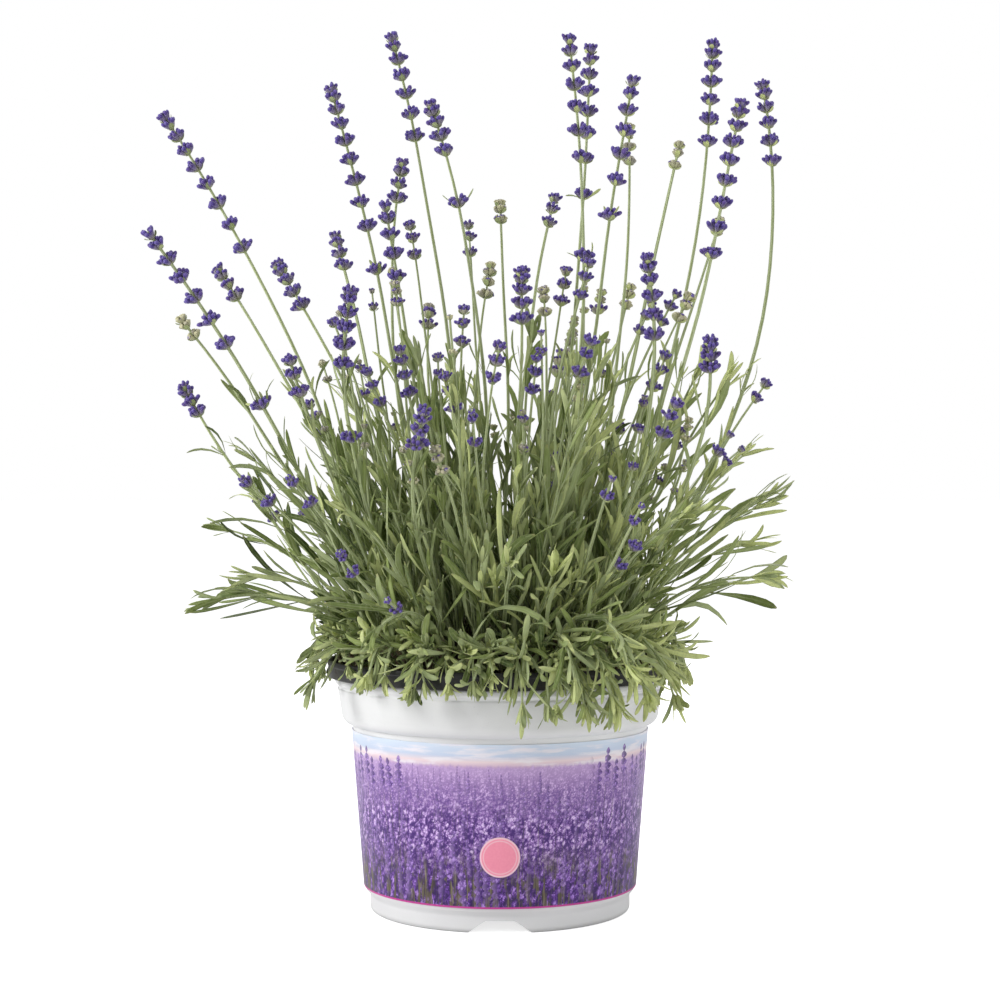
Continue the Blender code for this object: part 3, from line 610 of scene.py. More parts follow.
@once
def label_print():
    """A lavender field under a pale evening sky, drawn upright on the label's own UV map."""
    f = Finish("label_print", 0.36, Specular_IOR_Level=0.42)
    uv = f.node("UVMap", uv_map="Label").outputs[0]
    u, v, _ = f.axes(uv)

    sky = f.ramp(
        v,
        [
            (0.80, (0.44, 0.28, 0.54)),
            (0.86, (0.64, 0.44, 0.60)),
            (0.895, (0.86, 0.70, 0.73)),
            (0.93, (0.58, 0.66, 0.82)),
            (1.0, (0.68, 0.77, 0.90)),
        ],
    )
    clouds = f.noise(f.stretched(uv, (2.2, 14, 1)), 1.6, 5, 0.55)
    sky = f.mix(f.smooth(clouds, 0.46, 0.66, 0.0, 0.8), sky, (0.90, 0.85, 0.90))

    def florets(scale, tall, dark, middle, light):
        """Small flower heads, each with a brightness of its own, coarser with a smaller scale."""
        rough = f.noise(f.stretched(uv, (scale * 1.9, scale * 1.5, 1)), 1.0, 3, 0.65)
        warp = f.math("MULTIPLY", f.math("SUBTRACT", rough, 0.5), 2.6)
        cell_place = f.vector_math("ADD", f.stretched(uv, (scale, scale * tall, 1)), warp)
        gaps = f.cells(cell_place, 1.0)
        chance = f.axes(f.cells(cell_place, 1.0, output="Color"))[0]
        shade = f.noise(f.stretched(uv, (scale * 0.34, scale * 0.20, 1)), 1.0, 3)
        value = f.math("ADD", f.math("MULTIPLY", gaps, 0.55), f.math("MULTIPLY", chance, 0.34))
        value = f.math("ADD", value, f.math("MULTIPLY", shade, 0.50))
        return f.ramp(value, [(0.44, light), (0.60, middle), (0.78, dark)])

    far = florets(100, 0.9, (0.20, 0.10, 0.36), (0.45, 0.27, 0.59), (0.76, 0.56, 0.88))
    near = florets(58, 0.8, (0.065, 0.020, 0.18), (0.38, 0.19, 0.58), (0.84, 0.66, 0.96))
    close = florets(38, 0.75, (0.036, 0.010, 0.10), (0.160, 0.050, 0.38), (0.52, 0.30, 0.80))
    field = f.mix(f.smooth(v, 0.50, 0.74), near, far)
    field = f.mix(f.smooth(v, 0.12, 0.42), close, field)
    far_haze = f.smooth(v, 0.66, 0.88, 0.0, 0.75)
    field = f.mix(far_haze, field, (0.60, 0.41, 0.70))
    ragged_top = f.math("MULTIPLY", f.noise(f.stretched(uv, (40, 1, 1)), 1.0, 3), 0.05)
    colour = f.mix(f.smooth(f.math("ADD", v, ragged_top), 0.875, 0.905), field, sky)

    def spike_row(
        colour, cells, top, spread, half, whorls, seed, share=1.0, haze=0.0, where=1.0, whorled=0.6
    ):
        """One row of flower spikes in front of what is already there.

        cells are the spikes per label height, top and spread the place of their tips, half their half
        width, whorls how many fit in the label's height, and whorled how far they stand apart.
        """
        place = f.math("ADD", f.math("MULTIPLY", u, float(cells)), seed * 7.31)
        cell = f.math("FLOOR", place)
        chance = [f.node("TexWhiteNoise", noise_dimensions="1D") for _ in range(3)]
        for number, node in enumerate(chance):
            f.feed(node.inputs["W"], f.math("ADD", cell, seed * 13.7 + number * 5.9))
        first, second, third = (node.outputs[0] for node in chance)
        tip = f.math("ADD", f.math("MULTIPLY", first, spread), top - spread / 2)
        below = f.math("SUBTRACT", tip, v)
        lean = f.product(f.math("SUBTRACT", third, 0.5), f.math("MULTIPLY", below, cells * 0.22))
        middle = f.math("ADD", f.math("MULTIPLY", second, 0.5), 0.25)
        offset = f.math("SUBTRACT", f.math("SUBTRACT", place, f.math("ADD", cell, middle)), lean)
        side = f.math("ABSOLUTE", offset)
        steps = f.math("ABSOLUTE", f.math("SINE", f.math("MULTIPLY", below, 3.14159 * whorls)))
        edge = f.noise(f.stretched(uv, (cells * 9, cells * 9, 1)), 1.0, 3, 0.65)
        ragged = f.math("MULTIPLY", edge, 1.25 - whorled)
        width = f.math("ADD", f.math("MULTIPLY", steps, whorled), ragged)
        width = f.math("MULTIPLY", width, half * cells)
        taper = f.smooth(below, 0.0, 0.10, 0.35, 1.0)
        inside = f.smooth(f.math("SUBTRACT", side, f.product(width, taper)), 0.02, -0.05)
        reach = 0.95 / math.sqrt(cells)
        head = f.product(f.smooth(below, 0.0, 0.006), f.smooth(below, reach, reach * 0.6))
        there = f.product(f.smooth(second, 1.0 - share - 0.01, 1.0 - share), where)
        mask = f.product(inside, head, there)
        slim = f.smooth(side, 0.10 * half * cells + 0.03, 0.02)
        stem = f.product(slim, f.smooth(below, 0.20, 0.24), there)
        petals = florets(
            cells * 5.5, 0.9, (0.042, 0.012, 0.13), (0.165, 0.060, 0.37), (0.52, 0.33, 0.78)
        )
        lit = f.smooth(offset, -0.25, 0.20, 0.32, 0.0)
        petals = f.mix(lit, petals, (0.60, 0.40, 0.80))
        petals = f.mix(haze, petals, (0.48, 0.32, 0.60))
        colour = f.mix(f.math("MULTIPLY", stem, 0.40), colour, (0.10, 0.09, 0.06))
        return f.mix(f.math("MULTIPLY", mask, 0.90), colour, petals)

    gaps = f.noise(f.stretched(uv, (30, 5, 1)), 1.0, 4, 0.6)
    gap_share = f.math("MULTIPLY", f.smooth(gaps, 0.48, 0.57), f.smooth(v, 0.42, 0.12))
    stalks = f.noise(f.stretched(uv, (110, 3, 1)), 1.0, 3, 0.7)
    shade, olive, straw = (0.022, 0.016, 0.022), (0.13, 0.105, 0.05), (0.34, 0.31, 0.17)
    green = f.ramp(stalks, [(0.36, shade), (0.52, olive), (0.66, straw)])
    colour = f.mix(f.math("MULTIPLY", gap_share, 0.92), colour, green)

    colour = spike_row(colour, 27, 0.84, 0.07, 0.0120, 56, 1, 0.55, 0.45)
    colour = spike_row(colour, 21, 0.77, 0.14, 0.0160, 44, 2, 0.60, 0.22)
    colour = spike_row(colour, 16, 0.66, 0.18, 0.0210, 34, 3, 0.60, 0.08)
    colour = spike_row(colour, 13, 0.52, 0.22, 0.0260, 27, 4, 0.55)
    colour = spike_row(colour, 10, 0.38, 0.24, 0.0320, 22, 5, 0.60)
    colour = spike_row(colour, 9, 0.24, 0.20, 0.0340, 20, 6, 0.5)
    edges = f.smooth(f.math("ABSOLUTE", u), 0.54, 0.66)
    colour = spike_row(colour, 13, 0.90, 0.13, 0.0360, 22, 7, 0.90, 0.0, edges, 0.85)

    line = f.smooth(v, 0.013, 0.009)
    colour = f.mix(line, colour, (0.60, 0.055, 0.32))
    paper = f.noise(f.object_place(), 900, 3)
    return f.finish(colour, paper, 0.00004, 0.3)


# Modelling


def start_piece():
    """Object mode with nothing selected: the frame's nodes are selected when they are loaded."""
    if bpy.context.mode != "OBJECT":
        bpy.ops.object.mode_set(mode="OBJECT")
    bpy.ops.object.select_all(action="DESELECT")


def ring_stack(name, sides, sections, open_start=False):
    """Rings of points, each extruded from the one before. A section is (half width, half depth, height)."""
    start_piece()
    fill = "NOTHING" if open_start else "NGON"
    bpy.ops.mesh.primitive_circle_add(vertices=sides, radius=1.0, fill_type=fill)
    obj = bpy.context.active_object
    obj.name = obj.data.name = name
    bpy.ops.object.mode_set(mode="EDIT")
    bpy.ops.mesh.select_all(action="SELECT")
    wide, deep, height = sections[0]
    bpy.ops.transform.resize(value=(wide, deep, 1.0), center_override=(0, 0, 0))
    bpy.ops.transform.translate(value=(0, 0, height))
    for next_wide, next_deep, next_height in sections[1:]:
        bpy.ops.mesh.extrude_region_move(TRANSFORM_OT_translate={"value": (0, 0, next_height - height)})
        bpy.ops.transform.resize(
            value=(next_wide / wide, next_deep / deep, 1.0), center_override=(0, 0, next_height)
        )
        wide, deep, height = next_wide, next_deep, next_height
    bpy.ops.mesh.select_all(action="SELECT")
    if open_start:
        bpy.ops.mesh.remove_doubles(threshold=0.000001)
    bpy.ops.mesh.normals_make_consistent(inside=False)
    bpy.ops.object.mode_set(mode="OBJECT")
    return obj


def turned(name, sides, outline, **options):
    """A body of revolution from (radius, height) points."""
    return ring_stack(name, sides, [(radius, radius, height) for radius, height in outline], **options)


def rounded(corners, steps=3):
    """The outline with each corner (radius, height, rounding) turned into a short curve."""
    outline = []
    for index, (radius, height, rounding) in enumerate(corners):
        corner = Vector((radius, height))
        if rounding == 0 or index in (0, len(corners) - 1):
            outline.append((radius, height))
            continue
        before = Vector(corners[index - 1][:2]) - corner
        after = Vector(corners[index + 1][:2]) - corner
        reach = min(rounding, before.length * 0.45, after.length * 0.45)
        start, end = corner + before.normalized() * reach, corner + after.normalized() * reach
        for step in range(steps + 1):
            share = step / steps
            point = start * (1 - share) ** 2 + corner * 2 * share * (1 - share) + end * share**2
            outline.append((point.x, point.y))
    return outline


def smooth_shade(obj, degrees=35):
    """Shades the object smooth, with sharp edges where its faces meet at more than the degrees."""
    start_piece()
    obj.select_set(True)
    bpy.context.view_layer.objects.active = obj
    bpy.ops.object.shade_smooth_by_angle(angle=math.radians(degrees))


def cut_away(obj, cutters, operation="DIFFERENCE"):
    """Cuts each other body out of the object, or joins it on with UNION, and removes it."""
    for cutter in cutters:
        modifier = obj.modifiers.new("Cut", "BOOLEAN")
        modifier.operation, modifier.solver, modifier.object = operation, "EXACT", cutter
        start_piece()
        obj.select_set(True)
        bpy.context.view_layer.objects.active = obj
        bpy.ops.object.modifier_apply(modifier=modifier.name)
        bpy.data.objects.remove(cutter, do_unlink=True)


def hand_over(obj, finish, slot, *nodes):
    """The piece gets its finish and rides on the pot in place of the frame's nodes."""
    obj.data.materials.clear()
    obj.data.materials.append(finish)
    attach(obj, "root")
    if nodes:
        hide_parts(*nodes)


# Each place on a pot's outline is (radius, height)
WALL_FOOT, WALL_TOP = (0.0794, 0.0130), (0.0868, 0.1090)
FOOT_RADIUS, FOOT_INNER, FOOT_HEIGHT = 0.0764, 0.0702, 0.0095
FLOOR_LOW, FLOOR_HIGH, FLOOR_HOLE = 0.0085, 0.0105, 0.020
BAND_FOOT, SHOULDER_DROP, LIP = 0.1160, 0.0070, 0.0014
NOTCHES, NOTCH_FOOT_WIDTH, NOTCH_TOP_WIDTH = 3, 0.0388, 0.0160
NOTCH_LOW, NOTCH_HIGH, NOTCH_BLOCK = -0.0010, 0.0070, 0.0300
LABEL_LOW, LABEL_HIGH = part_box("label")[0][2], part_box("label")[1][2]
LABEL_THICKNESS = 0.0004
BADGE_RISE = 0.0290
GAP = 0.0003
GROW_WALL, GROW_GAP, GROW_RIM_HEIGHT, GROW_RIM_REACH = 0.0013, 0.0038, 0.0100, 0.0059
GROW_FLOOR, GROW_NECK, GROW_FLOOR_HOLE = 0.0160, 0.1090, 0.015
DRAIN_HOLES, DRAIN_RADIUS, DRAIN_INSET = 5, 0.0040, 0.0245
SOIL_LOW, SOIL_EDGE, CRUMBS = 0.0363, 0.0990, 340


def wall_radius(height):
    """Outer radius of the cover pot's tapered wall."""
    share = (height - WALL_FOOT[1]) / (WALL_TOP[1] - WALL_FOOT[1])
    return WALL_FOOT[0] + share * (WALL_TOP[0] - WALL_FOOT[0])


def foot_notch(index):
    """The body that cuts one notch out of the foot ring: wide at the foot, narrow at its top."""
    start_piece()
    bpy.ops.mesh.primitive_cube_add(
        size=1, location=(0.0740, 0, 0.0030), scale=(0.0200, NOTCH_BLOCK, NOTCH_HIGH - NOTCH_LOW)
    )
    cutter = bpy.context.active_object
    bpy.ops.object.transform_apply(location=True, rotation=True, scale=True)
    bpy.ops.object.mode_set(mode="EDIT")
    bpy.ops.mesh.select_mode(type="VERT")
    for level, width in ((NOTCH_HIGH, NOTCH_TOP_WIDTH), (NOTCH_LOW, NOTCH_FOOT_WIDTH)):
        bpy.ops.mesh.select_all(action="DESELECT")
        bpy.ops.object.mode_set(mode="OBJECT")
        for vertex in cutter.data.vertices:
            vertex.select = abs(vertex.co.z - level) < 0.0001
        bpy.ops.object.mode_set(mode="EDIT")
        bpy.ops.transform.resize(value=(1, width / NOTCH_BLOCK, 1), center_override=(0, 0, 0))
    bpy.ops.mesh.select_all(action="SELECT")
    bpy.ops.mesh.bevel(offset=0.0012, segments=3)
    bpy.ops.object.mode_set(mode="OBJECT")
    cutter.rotation_euler = (0, 0, math.radians(-90 + 360 / NOTCHES * index))
    return cutter


def make_cover_pot():
    """The white shell: raised floor, foot ring with notches, tapered wall and stepped-out rim band."""
    sizes = pot_sizes()
    wall, top, rim = sizes.wall, sizes.height, sizes.rim_radius
    band_foot = rim - 0.0022
    shoulder = [
        (
            WALL_TOP[0] + (band_foot - WALL_TOP[0]) * math.cos(math.radians(angle)),
            BAND_FOOT - SHOULDER_DROP * math.sin(math.radians(angle)),
            0,
        )
        for angle in range(10, 100, 10)
    ]
    corners = [
        (FLOOR_HOLE, FLOOR_HIGH, 0),
        (FOOT_RADIUS - wall, FLOOR_HIGH, 0.0015),
        (WALL_FOOT[0] - wall, WALL_FOOT[1] + wall, 0.0010),
        (WALL_TOP[0] - wall, WALL_TOP[1], 0.0015),
        (band_foot - wall, BAND_FOOT + wall, 0.0015),
        (rim - wall, top, 0.0008),
        (rim + LIP, top, 0.0011),
        (rim + LIP, top - 0.0034, 0.0010),
        (rim - 0.0001, top - 0.0046, 0.0005),
        (rim - 0.0007, top - 0.0056, 0.0005),
        (rim - 0.0001, top - 0.0066, 0.0006),
        (band_foot, BAND_FOOT + 0.0006, 0.0004),
        *shoulder,
        (*WALL_FOOT, 0.0008),
        (FOOT_RADIUS, FOOT_HEIGHT, 0.0012),
        (FOOT_RADIUS, 0.0, 0.0022),
        (FOOT_INNER, 0.0, 0.0008),
        (FOOT_INNER, FLOOR_LOW, 0.0010),
        (FLOOR_HOLE, FLOOR_LOW, 0),
    ]
    obj = turned("white_cover_pot", 176, rounded(corners, 4))
    cut_away(obj, [foot_notch(index) for index in range(NOTCHES)])
    smooth_shade(obj, 32)
    hand_over(obj, cover_pot_plastic(), "cover_pot_plastic", "cover_pot")


def make_label():
    """The wrap round the tapered wall. Its u runs round the pot from the front, in label heights."""
    inner = [(wall_radius(z) + GAP, z) for z in (LABEL_LOW, (LABEL_LOW + LABEL_HIGH) / 2, LABEL_HIGH)]
    outer = [(radius + LABEL_THICKNESS, z) for radius, z in inner]
    obj = turned("field_label", 192, [*outer, *reversed(inner), outer[0]], open_start=True)
    mesh = obj.data
    layer = mesh.uv_layers.new(name="Label")
    height = LABEL_HIGH - LABEL_LOW
    mean = wall_radius((LABEL_HIGH + LABEL_LOW) / 2)
    for face in mesh.polygons:
        centre = face.center
        middle = math.atan2(centre.x, -centre.y)
        for index in face.loop_indices:
            point = mesh.vertices[mesh.loops[index].vertex_index].co
            angle = math.atan2(point.x, -point.y)
            angle += 2 * math.pi * round((middle - angle) / (2 * math.pi))
            layer.data[index].uv = (angle * mean / height, (point.z - LABEL_LOW) / height)
    smooth_shade(obj, 35)
    hand_over(obj, label_print(), "label_print", "label")


def make_badge():
    """A thin round sticker, bent round the label."""
    radius = pot_sizes().badge_radius
    start_piece()
    bpy.ops.mesh.primitive_circle_add(vertices=72, radius=radius, fill_type="NGON")
    obj = bpy.context.active_object
    obj.name = obj.data.name = "round_badge"
    bpy.ops.object.mode_set(mode="EDIT")
    bpy.ops.mesh.select_all(action="SELECT")
    bpy.ops.mesh.extrude_region_move(TRANSFORM_OT_translate={"value": (0, 0, LABEL_THICKNESS)})
    bpy.ops.mesh.inset(thickness=0.00012, depth=0.00003)
    for _ in range(7):
        bpy.ops.mesh.inset(thickness=radius / 8)
    bpy.ops.object.mode_set(mode="OBJECT")
    foot = LABEL_LOW + BADGE_RISE
    for vertex in obj.data.vertices:
        x, up, proud = vertex.co
        height = foot + up
        reach = wall_radius(height) + 2 * GAP + LABEL_THICKNESS + proud
        turn = x / reach
        vertex.co = (reach * math.sin(turn), -reach * math.cos(turn), height)
    start_piece()
    obj.select_set(True)
    bpy.context.view_layer.objects.active = obj
    bpy.ops.object.mode_set(mode="EDIT")
    bpy.ops.mesh.select_all(action="SELECT")
    bpy.ops.mesh.normals_make_consistent(inside=False)
    bpy.ops.object.mode_set(mode="OBJECT")
    smooth_shade(obj, 35)
    hand_over(obj, badge_pink(), "badge_print", "badge")


def grow_radius(height):
    """Outer radius of the grower's pot, inside the cover pot."""
    return wall_radius(height) - GROW_GAP


def make_grow_pot():
    """The black inner pot: it hangs by its rim and drains through its floor."""
    rim_low, rim_high = POT_TOP + GAP, POT_TOP + GAP + GROW_RIM_HEIGHT
    rim = pot_sizes().rim_radius + GROW_RIM_REACH
    neck = grow_radius(GROW_NECK)
    floor = GROW_FLOOR + GROW_WALL
    corners = [
        (GROW_FLOOR_HOLE, floor, 0),
        (grow_radius(floor) - GROW_WALL, floor, 0.0020),
        (neck - GROW_WALL, GROW_NECK, 0.0040),
        (neck - GROW_WALL, rim_low + GROW_WALL, 0.0008),
        (rim - 0.0022, rim_low + GROW_WALL, 0.0008),
        (rim - 0.0022, rim_high, 0.0009),
        (rim, rim_high, 0.0009),
        (rim, rim_high - 0.0028, 0.0004),
        (rim - 0.0004, rim_high - 0.0033, 0.0004),
        (rim - 0.0004, rim_low, 0.0008),
        (neck, rim_low, 0.0008),
        (neck, GROW_NECK, 0.0040),
        (grow_radius(GROW_FLOOR), GROW_FLOOR, 0.0020),
        (GROW_FLOOR_HOLE, GROW_FLOOR, 0),
    ]
    obj = turned("black_grow_pot", 160, rounded(corners, 3))
    cutters = []
    for index in range(DRAIN_HOLES):
        angle = 2 * math.pi * index / DRAIN_HOLES
        circle = grow_radius(GROW_FLOOR) - DRAIN_INSET
        start_piece()
        bpy.ops.mesh.primitive_cylinder_add(
            vertices=28,
            radius=DRAIN_RADIUS,
            depth=0.006,
            location=(circle * math.cos(angle), circle * math.sin(angle), 0.0166),
        )
        cutters.append(bpy.context.active_object)
    cut_away(obj, cutters)
    smooth_shade(obj, 32)
    hand_over(obj, grow_pot_plastic(), "grow_pot_plastic", "grow_pot")


class Shape:
    """A modelled shape as arrays, so that it can be copied many times. Its rings lie along Z from 0 to 1."""

    def __init__(self, obj):
        mesh = obj.data
        points = np.empty(len(mesh.vertices) * 3)
        mesh.vertices.foreach_get("co", points)
        self.points = points.reshape(-1, 3)
        self.loops = np.empty(len(mesh.loops), np.int64)
        mesh.loops.foreach_get("vertex_index", self.loops)
        self.sizes = np.empty(len(mesh.polygons), np.int64)
        mesh.polygons.foreach_get("loop_total", self.sizes)
        self.levels, self.level_of = np.unique(np.round(self.points[:, 2], 4), return_inverse=True)
        self.level_of = self.level_of.reshape(-1)
        self.along = self.levels[self.level_of]
        bpy.data.objects.remove(obj, do_unlink=True)


class Gathering:
    """Copies of shapes gathered into one mesh, with the marks that their finishes read."""

    MARKS = ("along", "across", "tone", "under")

    def __init__(self):
        self.count = 0
        self.points, self.loops, self.sizes, self.slots = [], [], [], []
        self.marks = {name: [] for name in self.MARKS}
        self.finishes = []

    def add(self, shape, points, marks, finish):
        """points is (copies, points of the shape, 3); each mark is broadcast to (copies, points)."""
        copies, size = points.shape[:2]
        if finish not in self.finishes:
            self.finishes.append(finish)
        starts = self.count + size * np.arange(copies)
        self.points.append(points.reshape(-1, 3))
        self.loops.append((shape.loops[None] + starts[:, None]).reshape(-1))
        self.sizes.append(np.tile(shape.sizes, copies))
        self.slots.append(np.full(len(shape.sizes) * copies, self.finishes.index(finish)))
        for name in self.MARKS:
            self.marks[name].append(np.broadcast_to(marks[name], (copies, size)).reshape(-1))
        self.count += copies * size

    def finish(self, name):
        points, loops = np.concatenate(self.points), np.concatenate(self.loops)
        sizes, slots = np.concatenate(self.sizes), np.concatenate(self.slots)
        mesh = bpy.data.meshes.new(name)
        mesh.vertices.add(len(points))
        mesh.vertices.foreach_set("co", points.astype(np.float32).reshape(-1))
        mesh.loops.add(len(loops))
        mesh.loops.foreach_set("vertex_index", loops.astype(np.int32))
        mesh.polygons.add(len(sizes))
        mesh.polygons.foreach_set("loop_start", (np.cumsum(sizes) - sizes).astype(np.int32))
        mesh.polygons.foreach_set("material_index", slots.astype(np.int32))
        mesh.polygons.foreach_set("use_smooth", np.ones(len(sizes), bool))
        for mark, values in self.marks.items():
            layer = mesh.attributes.new(mark, "FLOAT", "POINT")
            layer.data.foreach_set("value", np.concatenate(values).astype(np.float32))
        mesh.update(calc_edges=True)
        mesh.validate()
        obj = bpy.data.objects.new(name, mesh)
        bpy.context.scene.collection.objects.link(obj)
        for finish in self.finishes:
            mesh.materials.append(finish)
        return obj


def unit(vectors):
    """The vectors at length one."""
    return vectors / np.linalg.norm(vectors, axis=-1, keepdims=True)


@once
def leaf_shape():
    """A narrow leaf: a groove along its top, margins rolled down and a keel beneath."""
    sections = [
        (0.34, 0.110, 0.0),
        (0.50, 0.105, 0.12),
        (0.84, 0.105, 0.36),
        (1.00, 0.100, 0.60),
        (0.95, 0.095, 0.79),
        (0.68, 0.080, 0.92),
        (0.18, 0.030, 1.0),
    ]
    obj = ring_stack("leaf", 8, sections)
    for vertex in obj.data.vertices:
        half = np.interp(vertex.co.z, [s[2] for s in sections], [s[0] for s in sections])
        side = abs(vertex.co.x) / half
        if side > 0.9:
            vertex.co.y -= 0.16 * half
        elif side < 0.1 and vertex.co.y > 0:
            vertex.co.y -= 0.15 * half
        elif side < 0.1:
            vertex.co.y -= 0.06 * half
        elif vertex.co.y < 0:
            vertex.co.y += 0.05 * half
    return Shape(obj)


@once
def stem_shape():
    """A square stem with soft ridges at its corners."""
    obj = ring_stack("stem", 8, [(1.0, 1.0, level / 22) for level in range(23)])
    for vertex in obj.data.vertices:
        corner = abs(math.sin(2 * math.atan2(vertex.co.y, vertex.co.x))) > 0.5
        if not corner:
            vertex.co.x *= 0.80
            vertex.co.y *= 0.80
    return Shape(obj)


@once
def calyx_shape():
    """A ribbed cup, a little narrower at its foot and at its mouth."""
    sections = [(0.50, 0.0), (0.86, 0.22), (1.0, 0.52), (0.94, 0.80), (1.04, 0.97), (0.70, 1.0)]
    obj = turned("calyx", 6, sections)
    for vertex in obj.data.vertices:
        if round(math.degrees(math.atan2(vertex.co.y, vertex.co.x)) / 60) % 2:
            vertex.co.x *= 0.88
            vertex.co.y *= 0.88
    return Shape(obj)


@once
def bud_shape():
    """A plump bud with a narrow tip."""
    sections = [(0.66, 0.0), (0.96, 0.22), (1.0, 0.48), (0.86, 0.74), (0.52, 0.93), (0.12, 1.0)]
    return Shape(turned("bud", 6, sections))


class Stem:
    """The path of a stem: a bow through its middle that wanders a little, and the frame along it."""

    def __init__(self, root, middle, tip, rng, wander=0.0011):
        self.root, self.tip = np.array(root, float), np.array(tip, float)
        self.bend = 2 * np.array(middle, float) - (self.root + self.tip) / 2
        self.wander = wander
        self.phases = [rng.uniform(0, 2 * math.pi) for _ in range(4)]
        chord = self.tip - self.root
        side = np.cross(chord, (0.0, 0.0, 1.0))
        if np.linalg.norm(side) < 0.2 * np.linalg.norm(chord):
            across = (0.0, 1.0, 0.0) if abs(chord[1]) < abs(chord[0]) else (1.0, 0.0, 0.0)
            side = np.cross(chord, across)
        self.plane = unit(side)
        steps = np.diff(self.at(np.linspace(0, 1, 40)), axis=0)
        self.length = float(np.linalg.norm(steps, axis=1).sum())

    def at(self, t):
        """Places at each t, from 0 at the root to 1 at the tip."""
        t = np.asarray(t, float)[..., None]
        place = self.root * (1 - t) ** 2 + self.bend * 2 * t * (1 - t) + self.tip * t**2
        one, two, three = self.phases[:3]
        fade = np.sin(math.pi * np.clip(t, 0, 1)) * self.wander
        shift = self.plane * np.sin(7 * t + one)
        shift = shift + np.cross(self.plane, (0, 0, 1.0)) * np.sin(9 * t + two)
        shift = shift + 0.4 * self.plane * np.sin(17 * t + three)
        return place + fade * shift

    def frame(self, t):
        """(place, direction, side, other side) at each t."""
        t = np.asarray(t, float)
        direction = unit(self.at(t + 0.004) - self.at(t - 0.004))
        side = unit(self.plane - (direction @ self.plane)[..., None] * direction)
        return self.at(t), direction, side, np.cross(direction, side)


# Share of the soil's radius that the roots fill, and how near the axis a root may stand
ROOT_SPREAD, NEAREST_ROOT = 0.81, 0.019


def root_of(tip):
    """Where a stem leaves the soil: the stems fan out from the middle of the pot."""
    share = ROOT_SPREAD * SOIL_RADIUS / WIDEST_TIP
    spread = Vector((tip[0], tip[1])) * share
    if spread.length < NEAREST_ROOT:
        spread = spread.normalized() * NEAREST_ROOT
    return np.array((spread.x, spread.y, SOIL_TOP + GAP))


# Painted light and shade: how much lighter the leaves' tone is painted for each metre to the right of the
# axis, and darker for each metre to its left
PAINTED_SIDE_LIGHT_PER_METRE = (2.6, 0.5)


